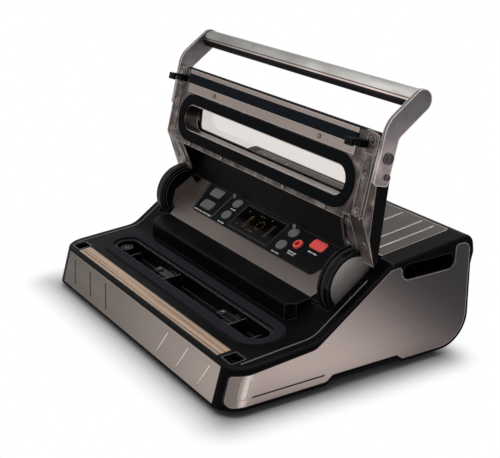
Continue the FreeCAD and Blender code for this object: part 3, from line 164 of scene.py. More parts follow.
class Look:
    """A procedural finish, painted in the part's own coordinates."""

    def __init__(self, name, sockets):
        self.material = bpy.data.materials.new(name)
        self.material.use_nodes = True
        self.tree = self.material.node_tree
        self.shader = self.tree.nodes["Principled BSDF"]
        for socket, value in sockets.items():
            self.shader.inputs[socket].default_value = value
        self.coords = self.tree.nodes.new("ShaderNodeTexCoord").outputs["Object"]

    def feed(self, socket, value):
        if isinstance(value, bpy.types.NodeSocket):
            self.tree.links.new(value, socket)
        else:
            socket.default_value = value

    def node(self, kind, inputs, **settings):
        """New node with its inputs set to values or linked to other sockets."""
        made = self.tree.nodes.new("ShaderNode" + kind)
        for name, value in settings.items():
            setattr(made, name, value)
        for key, value in inputs.items():
            self.feed(made.inputs[key], value)
        return made

    def paint(self, socket, value):
        self.feed(self.shader.inputs[socket], value)

    def noise(self, scale, stretch=(1, 1, 1), detail=2.0):
        """Soft noise from 0 to 1, with a scale per metre on each axis."""
        sized = [scale * share for share in stretch]
        place = self.node("Mapping", {"Vector": self.coords, "Scale": sized})
        inputs = {"Vector": place.outputs["Vector"], "Scale": 1.0, "Detail": detail}
        return self.node("TexNoise", inputs).outputs[0]

    def spread(self, value, start, end, low=0.0, high=1.0):
        """Value rescaled from one range to another."""
        inputs = {"Value": value, "From Min": start, "From Max": end, "To Min": low, "To Max": high}
        return self.node("MapRange", inputs).outputs["Result"]

    def along(self, direction, start, end):
        """0 to 1 across the part along a direction, between two distances in metres."""
        dot = self.node("VectorMath", {0: self.coords, 1: direction}, operation="DOT_PRODUCT")
        return self.spread(dot.outputs["Value"], start, end)

    def ramp(self, factor, stops, blending="LINEAR"):
        """Colours at places from 0 to 1, blended between them."""
        made = self.node("ValToRGB", {"Fac": factor})
        made.color_ramp.interpolation = blending
        elements = made.color_ramp.elements
        while len(elements) < len(stops):
            elements.new(1.0)
        for element, (place, color) in zip(elements, stops):
            element.position = place
            element.color = color
        return made.outputs["Color"]

    def blend(self, factor, first, second, kind="MIX"):
        """Second colour laid over the first, or multiplied into it."""
        inputs = {"Fac": factor, "Color1": first, "Color2": second}
        return self.node("MixRGB", inputs, blend_type=kind).outputs[0]

    def shaded(self, tint, share, pattern, dark):
        """Colour that is darkened, by a share, where a pattern is low."""
        return self.blend(share, tint, self.ramp(pattern, even(dark, WHITE)), "MULTIPLY")

    def edges(self, radius, softness=0.06):
        """1 along the piece's edges and 0 away from them."""
        soft = self.node("Bevel", {"Radius": radius})
        flat = self.node("NewGeometry", {}).outputs["Normal"]
        pair = {0: soft.outputs["Normal"], 1: flat}
        dot = self.node("VectorMath", pair, operation="DOT_PRODUCT").outputs["Value"]
        return self.spread(dot, 1.0, 1.0 - softness)

    def bump(self, height, strength, distance):
        made = self.node("Bump", {"Height": height, "Strength": strength, "Distance": distance})
        self.paint("Normal", made.outputs["Normal"])


def even(*colors):
    """Colours spaced evenly from 0 to 1."""
    return [(i / (len(colors) - 1), color) for i, color in enumerate(colors)]


def brushed(name, grain, colors, direction, reach, rough=(0.3, 0.46), edge=None, bend=None, edge_w=EDGE_W,
            metallic=1.0):
    """Brushed metal, with long fine streaks, a slow change of tone along a direction that paints in light
    and shade, and, where an edge colour is given, a painted highlight along its edges.

    A bend is a painted highlight band; it has a direction, its reach in metres and the tones that it adds,
    with their alpha as strength.
    """
    look = Look(name, {"Metallic": metallic, "Anisotropic": 0.4})
    streaks = look.noise(1.0, grain, detail=4.0)
    clouds = look.noise(CLOUD_SCALE)
    # painted light and shade: the tone changes slowly along a direction
    tint = look.ramp(look.along(direction, *reach), even(*colors), "B_SPLINE")
    # painted highlight: a bright band across a bend
    if bend:
        way, across, stops = bend
        made = look.ramp(look.along(way, *across), stops, "EASE")
        tint = look.blend(made.node.outputs["Alpha"], tint, made)
    tint = look.shaded(tint, STREAK_SHARE, streaks, tone(150, 148, 146))
    tint = look.shaded(tint, CLOUD_SHARE, clouds, tone(170, 168, 168))
    # painted highlight along the edges
    if edge:
        tint = look.blend(look.edges(edge_w), tint, edge)
    look.paint("Base Color", tint)
    look.paint("Roughness", look.spread(streaks, 0.2, 0.8, *rough))
    look.bump(streaks, BRUSH_BUMP, BRUSH_DEPTH)
    return look.material


def plastic(name, color, glint, rough, grain=900.0, specular=MATT_SPECULAR):
    """Moulded plastic with a fine texture, a slight bloom and a painted highlight along its edges."""
    look = Look(name, {"Specular IOR Level": specular})
    pores = look.noise(grain, detail=3.0)
    bloom = look.noise(BLOOM_SCALE)
    lifted = (*(BLOOM_LIFT * Vector(color[:3])), 1.0)
    tint = look.blend(look.spread(bloom, 0.35, 0.75), color, lifted)
    # painted highlight: the glint colour is laid along every edge
    tint = look.blend(look.edges(GLINT_W), tint, glint)
    look.paint("Base Color", tint)
    look.paint("Roughness", look.spread(bloom, 0.3, 0.7, rough - 0.05, rough + 0.1))
    look.bump(pores, strength=0.1, distance=0.00015)
    return look.material


def rubber(name, color, lift, grain):
    """Matt rubber or foam with open pores."""
    look = Look(name, {"Specular IOR Level": MATT_SPECULAR})
    pores = look.noise(grain, detail=4.0)
    look.paint("Base Color", look.blend(look.spread(pores, 0.35, 0.7), color, lift))
    look.paint("Roughness", look.spread(pores, 0.2, 0.8, 0.7, 0.95))
    look.bump(pores, strength=0.35, distance=0.0003)
    return look.material


def coated_cloth():
    """Tan coated glass cloth, streaked along its length, with a fine weave."""
    look = Look("tan_coated_cloth", {"Specular IOR Level": 0.3})
    streaks = look.noise(1.0, (4, 560, 560), detail=3.0)
    stains = look.noise(1.0, (16, 90, 90))
    weave = look.noise(1.0, (1100, 1100, 1100), detail=1.0)
    tones = even(tone(82, 63, 49), tone(142, 119, 99), tone(176, 151, 131))
    tint = look.ramp(look.spread(streaks, 0.3, 0.66), tones)
    tint = look.blend(look.spread(stains, 0.55, 0.8, 0.0, 0.5), tint, tone(116, 92, 72))
    look.paint("Base Color", tint)
    look.paint("Roughness", look.spread(weave, 0.2, 0.8, 0.42, 0.62))
    look.bump(weave, strength=0.25, distance=0.0002)
    return look.material


CAST_FOOT_LIGHT_Z = (0.15, 0.11)


def cast_metal():
    """Die-cast frame: blotched brown-grey metal, with a painted highlight along its edges and painted light
    that makes it paler towards its feet.
    """
    look = Look("cast_metal", {"Metallic": 0.6, "Specular IOR Level": 0.2})
    blotches = look.noise(70.0, detail=5.0)
    pits = look.noise(620.0, detail=3.0)
    colors = (tone(42, 38, 37), tone(72, 65, 62), tone(95, 86, 83), tone(150, 139, 134))
    tint = look.ramp(look.spread(blotches, 0.28, 0.74), even(*colors))
    # painted light: a paler blotched tone, blended in towards the feet
    foot = look.ramp(look.spread(blotches, 0.3, 0.7), even(tone(74, 66, 63), tone(186, 172, 165)))
    tint = look.blend(look.along(UP, *CAST_FOOT_LIGHT_Z), tint, foot)
    # painted highlight along the edges
    tint = look.blend(look.edges(CAST_EDGE_W), tint, tone(188, 176, 168))
    look.paint("Base Color", tint)
    look.paint("Roughness", look.spread(blotches, 0.3, 0.7, 0.55, 0.34))
    look.bump(pits, strength=0.3, distance=0.0004)
    return look.material


ARM_LIGHT_Z = (0.184, 0.275)
ARM_STREAKS = 0.4


def arm_metal():
    """Brushed flat bar with painted light and shade, darker towards the tube and paler by its bolts, and a
    painted highlight along its edges.
    """
    look = Look("arm_metal", {"Metallic": 1.0, "Anisotropic": 0.3})
    streaks = look.noise(1.0, (900, 900, 30), detail=4.0)
    clouds = look.noise(48.0, detail=3.0)
    # painted light and shade along the arm's height: pale by the bolts, darker towards the tube
    height = look.along(UP, *ARM_LIGHT_Z)
    stops = [
        (0.0, tone(136, 123, 124)),
        (0.12, tone(170, 155, 154)),
        (0.3, tone(192, 176, 173)),
        (0.52, tone(136, 128, 129)),
        (0.72, tone(114, 110, 112)),
        (1.0, tone(100, 98, 101)),
    ]
    tint = look.blend(look.spread(clouds, 0.45, 0.66, 0.0, 0.7), look.ramp(height, stops), tone(88, 81, 86))
    tint = look.shaded(tint, ARM_STREAKS, streaks, tone(150, 148, 148))
    # painted highlight along the edges
    tint = look.blend(look.edges(GLINT_W), tint, tone(226, 218, 214))
    look.paint("Base Color", tint)
    look.paint("Roughness", look.spread(streaks, 0.2, 0.8, 0.34, 0.5))
    look.bump(streaks, BRUSH_BUMP, BRUSH_DEPTH)
    return look.material


TUBE_LIGHT_WAY = (0, -0.939, 0.344)
TUBE_SHADE_X = (-0.18, 0.12)
TUBE_STREAKS = 0.35
TUBE_SHADED_SIDE_EDGE = (0.2, 0.22)


def tube_metal():
    """Pale satin tube with painted light and shade: a painted dark reflection below, non-metallic there, set
    off by a painted highlight line and a thin dark one, and painted shade towards its left end.
    """
    look = Look("tube_metal", {"Anisotropic": 0.3, "Specular IOR Level": 0.04})
    lid_turn = LID.to_3x3().normalized()
    middle = LID @ Vector((0, -TUBE_U, TUBE_W))
    across = lid_turn @ Vector(TUBE_LIGHT_WAY)
    reach = TUBE_R * MM
    start = middle.dot(across)
    # painted light and shade across the tube, laid along a fixed slanting direction
    side = look.along(across, start - reach, start + reach)
    streaks = look.noise(1.0, (3, 800, 800), detail=4.0)
    smudges = look.noise(1.0, (22, 60, 60))
    # painted shade: darker towards the left end
    length = look.ramp(look.along(ACROSS, *TUBE_SHADE_X), even(tone(168, 168, 168), WHITE))
    worn = look.ramp(smudges, [(0.35, tone(222, 220, 217)), (0.62, tone(255, 255, 253))])
    pale = look.blend(1.0, length, worn, "MULTIPLY")
    pale = look.shaded(pale, TUBE_STREAKS, streaks, tone(168, 166, 164))
    # painted light and shade across the tube: a dark reflection on one side, a painted highlight line, a
    # thin dark line, then pale and fading darker
    painted_bands = look.ramp(side, [
        (0.0, tone(56, 52, 55)),
        (0.19, tone(66, 61, 64)),
        (0.205, tone(84, 70, 70)),
        (0.225, tone(252, 230, 226)),
        (0.285, tone(248, 228, 224)),
        (0.3, tone(46, 42, 42)),
        (0.32, tone(90, 84, 82)),
        (0.37, tone(230, 228, 224)),
        (0.6, tone(212, 211, 208)),
        (0.8, tone(168, 167, 166)),
        (0.93, tone(132, 131, 131)),
        (1.0, tone(66, 65, 66)),
    ])
    # the painted dark side is also made non-metallic and rougher
    bare = look.spread(side, *TUBE_SHADED_SIDE_EDGE)
    look.paint("Base Color", look.blend(1.0, pale, painted_bands, "MULTIPLY"))
    look.paint("Metallic", bare)
    look.paint("Roughness", look.spread(bare, 0.0, 1.0, 0.6, 0.3))
    look.bump(streaks, strength=0.1, distance=BRUSH_DEPTH)
    return look.material


def clear_pane():
    """Clear sheet with a faint warm tint and a few smears."""
    look = Look("clear_pane", {"Transmission Weight": 1.0, "IOR": 1.45})
    smears = look.noise(1.0, (18, 60, 60), detail=3.0)
    look.paint("Base Color", look.ramp(smears, even(tone(218, 213, 208), tone(228, 223, 218))))
    look.paint("Roughness", look.spread(smears, 0.5, 0.9, 0.0, 0.05))
    return look.material


def printed(name, color, worn):
    """Thin print with a slightly uneven ink."""
    look = Look(name, {"Specular IOR Level": 0.25, "Roughness": 0.5})
    look.paint("Base Color", look.blend(look.spread(look.noise(420.0), 0.35, 0.7), color, worn))
    return look.material


def glowing(name, color, dim):
    """Small lit marks of a display, in an uneven glow."""
    look = Look(name, {"Specular IOR Level": 0.2, "Roughness": 0.4, "Emission Strength": 0.12})
    tint = look.blend(look.spread(look.noise(160.0), 0.3, 0.7), color, dim)
    look.paint("Base Color", tint)
    look.paint("Emission Color", tint)
    return look.material


def circuit_board():
    """Green board with paler tracks."""
    look = Look("circuit_board", {"Roughness": 0.4})
    tracks = look.noise(1.0, (60, 420, 420), detail=1.0)
    look.paint("Base Color", look.ramp(tracks, even(tone(12, 60, 34), tone(30, 104, 58))))
    return look.material


# Steel finishes; each edge colour is a painted highlight along the piece's edges
STEEL_ALONG_X = (5, 620, 620)
STEEL_ALONG_Y = (620, 6, 620)
# painted highlight: a bright band down the side skin where it bends round the front corner
FRONT_BEND_HIGHLIGHT = ((0, 1, -0.289), (-0.147, -0.107), [
    (0.0, faint(tone(112, 103, 99), 0.85)),
    (0.34, faint(tone(122, 112, 108), 0.8)),
    (0.5, faint(tone(240, 224, 216), 0.9)),
    (0.66, faint(tone(206, 190, 183), 0.3)),
    (1.0, faint(tone(190, 174, 168), 0.0)),
])
# painted light and shade: pale low at the front, darker towards the back and top
side_steel = brushed(
    "side_steel", STEEL_ALONG_Y,
    (tone(165, 149, 145), tone(208, 190, 184), tone(186, 170, 164), tone(78, 72, 74), tone(60, 58, 62)),
    (0, 1, 1.2), (-0.11, 0.22), edge=tone(180, 167, 161), bend=FRONT_BEND_HIGHLIGHT)
# painted reflection: darker at the left end, paler towards the right
front_steel = brushed(
    "front_steel", STEEL_ALONG_X, (tone(96, 88, 81), tone(132, 121, 113), tone(182, 168, 160)),
    ACROSS, WHOLE_X, edge=tone(196, 184, 176), edge_w=FINE_EDGE_W)
top_steel = brushed(
    "top_steel", STEEL_ALONG_X, (tone(62, 56, 52), tone(66, 60, 56)),
    ACROSS, WHOLE_X, edge=tone(190, 180, 172))
# painted light and shade: paler at the left end, darker in the middle, paler again to the right
plate_steel = brushed(
    "plate_steel", STEEL_ALONG_X, (tone(134, 124, 118), tone(92, 83, 79), tone(114, 105, 100)),
    ACROSS, INNER_X, (0.4, 0.56), edge=tone(128, 119, 113))
# painted reflection: a little paler towards the right
strip_steel = brushed(
    "strip_steel", STEEL_ALONG_X, (tone(150, 135, 129), tone(168, 154, 148)),
    ACROSS, INNER_X, edge=tone(198, 187, 182))
disc_steel = brushed(
    "disc_steel", (40, 700, 700), (tone(216, 209, 206), tone(202, 195, 191)), UP, (0.06, 0.11),
    edge=tone(240, 236, 232), edge_w=0.002, metallic=0.4)
screw_steel = brushed(
    "screw_steel", (900, 900, 900), (tone(86, 80, 77), tone(112, 105, 101)),
    UP, (0.0, 0.26), (0.2, 0.36), edge=tone(172, 166, 162), edge_w=FINE_EDGE_W)
dark_steel = brushed(
    "dark_steel", (700, 700, 700), (tone(52, 48, 49), tone(70, 66, 67)), UP, WHOLE_Z,
    edge=tone(140, 132, 130))
trim_steel = brushed(
    "trim_steel", STEEL_ALONG_X, (tone(54, 49, 47), tone(130, 119, 113), tone(150, 138, 132)),
    ACROSS, (-0.155, -0.1), edge=tone(204, 194, 188))
# painted shade: a dark copy of the steel that fills grooves
groove_shade = brushed(
    "groove_shade", (700, 700, 700), (tone(38, 34, 32), tone(52, 47, 44)), UP, WHOLE_Z)
# painted highlight: a bright copy of the steel for ridges beside grooves
highlight_steel = brushed(
    "highlight_steel", (700, 700, 700), (tone(214, 203, 196), tone(232, 222, 216)), ACROSS, WHOLE_X)
works_metal = brushed(
    "works_metal", (500, 40, 500), (tone(150, 150, 150), tone(176, 176, 174)), ACROSS, (-0.1, 0.1))

satin_black = plastic("satin_black", tone(8, 8, 9), tone(66, 66, 69), 0.32, specular=0.016)
gloss_black = plastic("gloss_black", tone(10, 10, 12), tone(88, 88, 91), 0.2, grain=300.0, specular=0.1)
# painted highlight: a grey line on the black rim
rim_highlight = plastic("rim_highlight", tone(62, 62, 65), tone(120, 120, 122), 0.24)
drum_black = plastic("drum_black", tone(12, 12, 13), tone(58, 58, 60), 0.22, grain=300.0, specular=0.06)
lid_black = plastic("lid_black", tone(10, 10, 11), tone(50, 50, 52), 0.42)
overlay_black = plastic("overlay_black", tone(13, 14, 17), tone(44, 44, 46), 0.4, grain=1400.0)
key_grey = plastic("key_grey", tone(98, 98, 98), tone(132, 132, 132), 0.5, grain=1200.0)
key_red = plastic("key_red", tone(242, 92, 88), tone(246, 124, 118), 0.45, grain=1200.0)
pane_black = plastic("pane_black", tone(6, 6, 7), tone(40, 40, 42), 0.12, grain=200.0)
pump_grey = plastic("pump_grey", tone(60, 60, 62), tone(96, 96, 98), 0.5)
deck_foam = rubber("deck_foam", tone(26, 25, 29), tone(38, 36, 41), 1500.0)
lid_foam = rubber("lid_foam", tone(11, 12, 14), tone(19, 21, 24), 1500.0)
pad_rubber = rubber("pad_rubber", tone(20, 23, 29), tone(31, 35, 42), 900.0)
foot_rubber = rubber("foot_rubber", tone(26, 26, 28), tone(38, 38, 40), 900.0)
hose_rubber = rubber("hose_rubber", tone(200, 198, 190), tone(222, 220, 214), 500.0)
white_print = printed("white_print", tone(214, 214, 212), tone(172, 172, 172))
grey_print = printed("grey_print", tone(122, 122, 124), tone(86, 86, 88))
dim_print = printed("dim_print", tone(66, 66, 68), tone(46, 46, 48))
amber_marks = glowing("amber_marks", tone(114, 88, 55), tone(58, 46, 33))
cast = cast_metal()
arms = arm_metal()

LOOKS = {
    side_steel: ["side_panel_right", "side_panel_left"],
    front_steel: ["front_panel"],
    top_steel: ["rear_top_panel"],
    plate_steel: ["control_plate"],
    strip_steel: ["front_strip", "rear_strip"],
    disc_steel: ["drum_caps"],
    screw_steel: ["lid_screws", "case_screws", "hinge_pins", "heating_wire", "latch_spring"],
    dark_steel: ["handle_bolts"],
    works_metal: ["heater_bar", "pump_motor", "latch_bar", "transformer"],
    satin_black: ["deck_housing", "rear_cover", "bag_ledge", "base_tray", "latch_guides", "pump_cradle",
                  "power_inlet"],
    gloss_black: ["vacuum_trough", "bag_stops"],
    drum_black: ["hinge_drum_right", "hinge_drum_left"],
    lid_black: ["lid_shell", "lid_hooks"],
    overlay_black: ["key_overlay"],
    key_grey: ["key_mode_lower", "key_mode_upper", "key_left_lower", "key_left_upper", "key_right_lower",
               "key_right_upper"],
    key_red: ["key_start", "accessory_port"],
    pane_black: ["display_window"],
    pump_grey: ["vacuum_pump", "release_valve"],
    deck_foam: ["lower_gasket"],
    lid_foam: ["upper_gasket"],
    pad_rubber: ["seal_pad"],
    foot_rubber: ["rubber_feet"],
    hose_rubber: ["vacuum_hose"],
    cast: ["lid_frame"],
    arms: ["handle_arm_right", "handle_arm_left"],
    tube_metal(): ["handle_tube"],
    clear_pane(): ["lid_window"],
    coated_cloth(): ["seal_tape"],
    circuit_board(): ["control_board"],
}
for look, names in LOOKS.items():
    for name in names:
        nodes[name].data.materials.clear()
        nodes[name].data.materials.append(look)


# Mesh helpers, in the millimetres of a working frame
def arc(x, y, radius, start, end, steps):
    """Points on a round stretch, with angles in degrees."""
    angles = [math.radians(start + (end - start) * i / steps) for i in range(steps + 1)]
    return [(x + radius * math.cos(a), y + radius * math.sin(a)) for a in angles]


def rounded(x0, x1, y0, y1, radius, steps=5):
    points = arc(x1 - radius, y0 + radius, radius, -90, 0, steps)
    points += arc(x1 - radius, y1 - radius, radius, 0, 90, steps)
    points += arc(x0 + radius, y1 - radius, radius, 90, 180, steps)
    return points + arc(x0 + radius, y0 + radius, radius, 180, 270, steps)


def oblong(half, radius, mid, steps=24):
    """Stadium outline, long in x."""
    reach = half - radius
    return arc(reach, mid, radius, -90, 90, steps) + arc(-reach, mid, radius, 90, 270, steps)


def circle(x, y, radius, steps=32):
    return arc(x, y, radius, 0, 360, steps)[:-1]


def strip(start, end, width):
    """Outline of a straight line with a width."""
    ahead = Vector(end) - Vector(start)
    side = Vector((-ahead.y, ahead.x)).normalized() * width / 2
    corners = (Vector(start) - side, Vector(end) - side, Vector(end) + side, Vector(start) + side)
    return [tuple(corner) for corner in corners]


def slab(mesh, points, low, high):
    """Flat piece of an outline, between two heights."""
    bottom = [mesh.verts.new((x, y, low)) for x, y in points]
    top = [mesh.verts.new((x, y, high)) for x, y in points]
    mesh.faces.new(bottom[::-1])
    mesh.faces.new(top)
    for i in range(len(points)):
        mesh.faces.new((bottom[i - 1], bottom[i], top[i], top[i - 1]))


def ring_slab(mesh, outer, inner, low, high):
    """Flat ring between two outlines with as many points each."""
    loops = [[mesh.verts.new((x, y, z)) for x, y in line]
             for line, z in ((outer, low), (outer, high), (inner, high), (inner, low))]
    for i in range(len(outer)):
        for here, after in zip(loops, loops[1:] + loops[:1]):
            mesh.faces.new((here[i - 1], here[i], after[i], after[i - 1]))


def hoop(mesh, profile, steps=120):
    """Closed profile of (x, radius) points turned about the x axis."""
    loops = []
    for i in range(steps):
        turn = 2 * math.pi * i / steps
        loops.append([mesh.verts.new((x, r * math.cos(turn), r * math.sin(turn))) for x, r in profile])
    for i in range(steps):
        for j in range(len(profile)):
            mesh.faces.new((loops[i - 1][j - 1], loops[i - 1][j], loops[i][j], loops[i][j - 1]))


def bead(mesh, path, radius, steps=8):
    """Round bead along a path of points that keeps to one side plane."""
    loops = []
    for i, point in enumerate(path):
        ahead = (path[min(i + 1, len(path) - 1)] - path[max(i - 1, 0)]).normalized()
        side = Vector((1, 0, 0))
        out = side.cross(ahead)
        turns = [2 * math.pi * k / steps for k in range(steps)]
        offsets = [(side * math.cos(turn) + out * math.sin(turn)) * radius for turn in turns]
        loops.append([mesh.verts.new(point + offset) for offset in offsets])
    for here, after in zip(loops, loops[1:]):
        for k in range(steps):
            mesh.faces.new((here[k - 1], here[k], after[k], after[k - 1]))
    mesh.faces.new(loops[0])
    mesh.faces.new(loops[-1])


SHARP = math.radians(35)


def piece(name, mesh, place, body, look, bevel=0.0):
    """Turns a drawn mesh into a piece of the part that moves with a body."""
    bmesh.ops.recalc_face_normals(mesh, faces=mesh.faces)
    if bevel:
        sharp = [edge for edge in mesh.edges if edge.calc_face_angle(0.0) > SHARP]
        bmesh.ops.bevel(mesh, geom=sharp, offset=bevel, segments=2, profile=0.5, affect="EDGES")
    mesh.transform(place)
    data = bpy.data.meshes.new(name)
    mesh.to_mesh(data)
    mesh.free()
    data.shade_smooth()
    data.set_sharp_from_angle(angle=SHARP)
    data.materials.append(look)
    made = bpy.data.objects.new(name, data)
    bpy.context.scene.collection.objects.link(made)
    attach(made, body)
    return made


# Depths that details sink into what carries them
SINK_FINE = 0.1
SINK = 0.2
SINK_DEEP = 0.3
FEW_STEPS = 2


# Lid details
LIP_HALF = 164.0
LIP_BACK = 0.8
LIP_FRONT = 0.5
LIP_DROP = 1.0
LIP_RISE = 2.5
LIP_ROUND = 0.5
TOOTH_PITCH = 3.6
TOOTH_W = 1.7
TOOTH_REACH = 0.8
TOOTH_ROUND = 0.3


def lid_lip():
    """Black lip along the lid's front edge, with a row of small teeth."""
    mesh = bmesh.new()
    back = -LID_FRONT_U + LIP_BACK
    front = -LID_FRONT_U - LIP_FRONT
    low = LID_INNER_W - LIP_DROP
    bar = rounded(-LIP_HALF, LIP_HALF, front, back, LIP_ROUND, FEW_STEPS)
    slab(mesh, bar, low, LID_INNER_W + LIP_RISE)
    reach = (front - TOOTH_REACH, front + SINK_FINE)
    count = int(2 * LIP_HALF / TOOTH_PITCH) - 1
    for i in range(count):
        x = (i - (count - 1) / 2) * TOOTH_PITCH
        tooth = rounded(x - TOOTH_W / 2, x + TOOTH_W / 2, *reach, TOOTH_ROUND, FEW_STEPS)
        slab(mesh, tooth, low, LID_INNER_W)
    piece("lid_lip", mesh, LID, "lid", lid_black)


RAIL_X = 176.0
RAIL_SCREW_U = (138.0, 104.0, 72.0)
SEAT_R = (4.6, 2.7)
SEAT_RISE = 0.7
RAIL_RIBS = ((182.6, 66.0, 132.0), (170.6, 70.0, 116.0))
RIB_W = 1.4
RIB_RISE = 0.8
PAD_HALF = 8.4
PAD_U = (125.0, 144.6)
PAD_LINE = 1.2
PAD_ROUND = (3.0, 2.2)
PAD_RISE = 0.5


def rail_pad(middle, inset, corner):
    """Outline of the raised field at a rail's front end, drawn in by an inset."""
    half = PAD_HALF - inset
    return rounded(middle - half, middle + half, -PAD_U[1] + inset, -PAD_U[0] - inset, corner)


def frame_ribs():
    """Cast ribs on the side rails, seats round their screws and a raised line at their front ends."""
    mesh = bmesh.new()
    face = LID_INNER_W
    base = face + SINK
    for side in (-1, 1):
        middle = side * RAIL_X
        for u in RAIL_SCREW_U:
            outer, inner = (circle(middle, -u, radius) for radius in SEAT_R)
            ring_slab(mesh, outer, inner, face - SEAT_RISE, base)
        for x, start, end in RAIL_RIBS:
            slab(mesh, strip((side * x, -start), (side * x, -end), RIB_W), face - RIB_RISE, base)
        outer = rail_pad(middle, 0.0, PAD_ROUND[0])
        inner = rail_pad(middle, PAD_LINE, PAD_ROUND[1])
        ring_slab(mesh, outer, inner, face - PAD_RISE, base)
    piece("frame_ribs", mesh, LID, "lid", cast, bevel=0.2)


SCREW_R = 2.4
SCREW_STEPS = 24
HOLE_SHARE = 0.4
HOLE_FLOOR_SHARE = 0.5
HOLE_FLOOR_RISE = 0.4


def screw_head(mesh, x, y, seat, rise, radius=SCREW_R):
    """Round head with a round hole, raised from its seat; a negative rise points down."""
    low, high = sorted((seat, seat + rise))
    outer, inner = (circle(x, y, radius * share, SCREW_STEPS) for share in (1.0, HOLE_SHARE))
    ring_slab(mesh, outer, inner, low, high)
    hole_floor = circle(x, y, radius * HOLE_FLOOR_SHARE, SCREW_STEPS)
    slab(mesh, hole_floor, *sorted((seat, seat + rise * HOLE_FLOOR_RISE)))


RAIL_LUG = (
    (158.0, 1.0), (150.5, 12.0), (147.0, 36.0), (149.0, 41.0), (153.0, 43.0), (168.0, 43.0), (168.0, 1.0),
)
LUG_RISE = 1.2
LUG_SLOT = ((157.0, 13.0), (153.4, 30.0))
LUG_SLOT_W = 4.0
LUG_SLOT_RISE = 0.08


def mirrored(points, side):
    """Points of the right side, or their mirror images on the left."""
    return [(side * x, y) for x, y in points]


def rail_lugs():
    """Cast lugs on the inner side of the rail feet, each with a black strip of painted shade where a slot
    is.
    """
    lugs = bmesh.new()
    slots = bmesh.new()
    for side in (-1, 1):
        slab(lugs, mirrored(RAIL_LUG, side), -LUG_RISE, SINK)
        # painted shade: a black strip laid on the lug in place of a slot
        line = strip(*mirrored(LUG_SLOT, side), LUG_SLOT_W)
        slab(slots, line, -LUG_RISE - LUG_SLOT_RISE, -LUG_RISE + SINK_DEEP)
    piece("rail_lugs", lugs, RAIL_FOOT, "lid", cast, bevel=0.4)
    piece("rail_lug_slot_shades", slots, RAIL_FOOT, "lid", lid_black)


RAIL_FOOT_SCREWS = ((163.5, 10.0, LUG_RISE), (154.0, 37.5, LUG_RISE), (179.0, 31.0, 0.0))
FOOT_SCREW_RISE = 1.1
FOOT_SEAT_R = (4.0, 2.9)
FOOT_SEAT_RISE = 0.6


def rail_foot_screws():
    """Screws in raised seats on the slanted feet of the lid's cast rails."""
    screws = bmesh.new()
    seats = bmesh.new()
    for side in (-1, 1):
        for x, y, rise in RAIL_FOOT_SCREWS:
            base = SINK_FINE - rise
            screw_head(screws, side * x, y, base, -FOOT_SCREW_RISE)
            outer, inner = (circle(side * x, y, radius) for radius in FOOT_SEAT_R)
            ring_slab(seats, outer, inner, -FOOT_SEAT_RISE - rise, base)
    piece("rail_foot_screws", screws, RAIL_FOOT, "lid", screw_steel, bevel=0.2)
    piece("rail_foot_seats", seats, RAIL_FOOT, "lid", cast, bevel=0.2)


TRIM_T = 1.1
TRIM_PROUD = 0.3
TRIM_ROOM = 0.4


def opening_trim():
    """Bright edge round the lid's oblong opening."""
    mesh = bmesh.new()
    outer, inner = (oblong(OPENING_HALF - inset, OPENING_R - inset, -OPENING_U) for inset in (0.0, TRIM_T))
    ring_slab(mesh, outer, inner, LID_INNER_W - TRIM_PROUD, PANE_W - TRIM_ROOM)
    piece("opening_trim", mesh, LID, "lid", trim_steel)


CLIP_X = (-51.0, 64.5)
CLIP_PLATE = (2.8, (-28.0, -24.2), 0.8, (-6.4, -4.9))
CLIP_TONGUE = (1.6, (-25.4, -23.6), 0.6, (-6.2, -2.2))
CLIP_RIVET_U = 26.6
CLIP_RIVET_R = 1.0
CLIP_RIVET_W = (-6.9, -6.3)
CLIP_RIVET_STEPS = 20


def lid_clips():
    """Two bent clips on the rear edge of the lid, each a plate and a tongue with a rivet."""
    mesh = bmesh.new()
    for x in CLIP_X:
        for half, reach, corner, heights in (CLIP_PLATE, CLIP_TONGUE):
            slab(mesh, rounded(x - half, x + half, *reach, corner), *heights)
        slab(mesh, circle(x, -CLIP_RIVET_U, CLIP_RIVET_R, CLIP_RIVET_STEPS), *CLIP_RIVET_W)
    piece("lid_clips", mesh, LID, "lid", dark_steel, bevel=0.25)


DRUM_RIB_X = (3.4, 5.6)
DRUM_FACE_R = (35.2, 32.0, 28.4)
DRUM_RIB = 0.7
DRUM_RIB_RISE = 0.5


def drum_rings():
    """Raised rings on the rim and the inner face of both hinge drums."""
    mesh = bmesh.new()
    foot = DRUM_R - SINK_DEEP
    crest = DRUM_R + DRUM_RIB_RISE
    for side in (-1, 1):
        inner = side * DRUM_IN_X
        for x in DRUM_RIB_X:
            near = inner + side * x
            far = near + side * DRUM_RIB
            hoop(mesh, [(near, foot), (near, crest), (far, crest), (far, foot)])
        low = inner + side * SINK
        high = inner - side * DRUM_RIB
        for radius in DRUM_FACE_R:
            hoop(mesh, [(low, radius), (high, radius), (high, radius + DRUM_RIB), (low, radius + DRUM_RIB)])
    piece("drum_rings", mesh, LID, "lid", gloss_black, bevel=0.15)


# Deck details
BEAD_X = 179.5
BEAD_START = 24.0
BEAD_END = 74.0
BEAD_R = 0.8
BEND_STEPS = 10


def rim_path(x):
    """Line on the housing beside its rim: along the deck, round the bend and up the slope."""
    turn = math.radians(SLOPE_TILT - DECK_TILT)
    reach = SLOPE_BEND_R * math.tan(turn / 2)
    bend = SLOPE_FOOT_V - reach
    path = [Vector((x, BEAD_START, 0.0))]
    for i in range(BEND_STEPS + 1):
        angle = turn * i / BEND_STEPS
        path.append(Vector((x, bend + SLOPE_BEND_R * math.sin(angle), SLOPE_BEND_R * (1 - math.cos(angle)))))
    up_slope = Vector((0.0, math.cos(turn), math.sin(turn)))
    path.append(path[-1] + up_slope * (BEAD_END - reach))
    return path


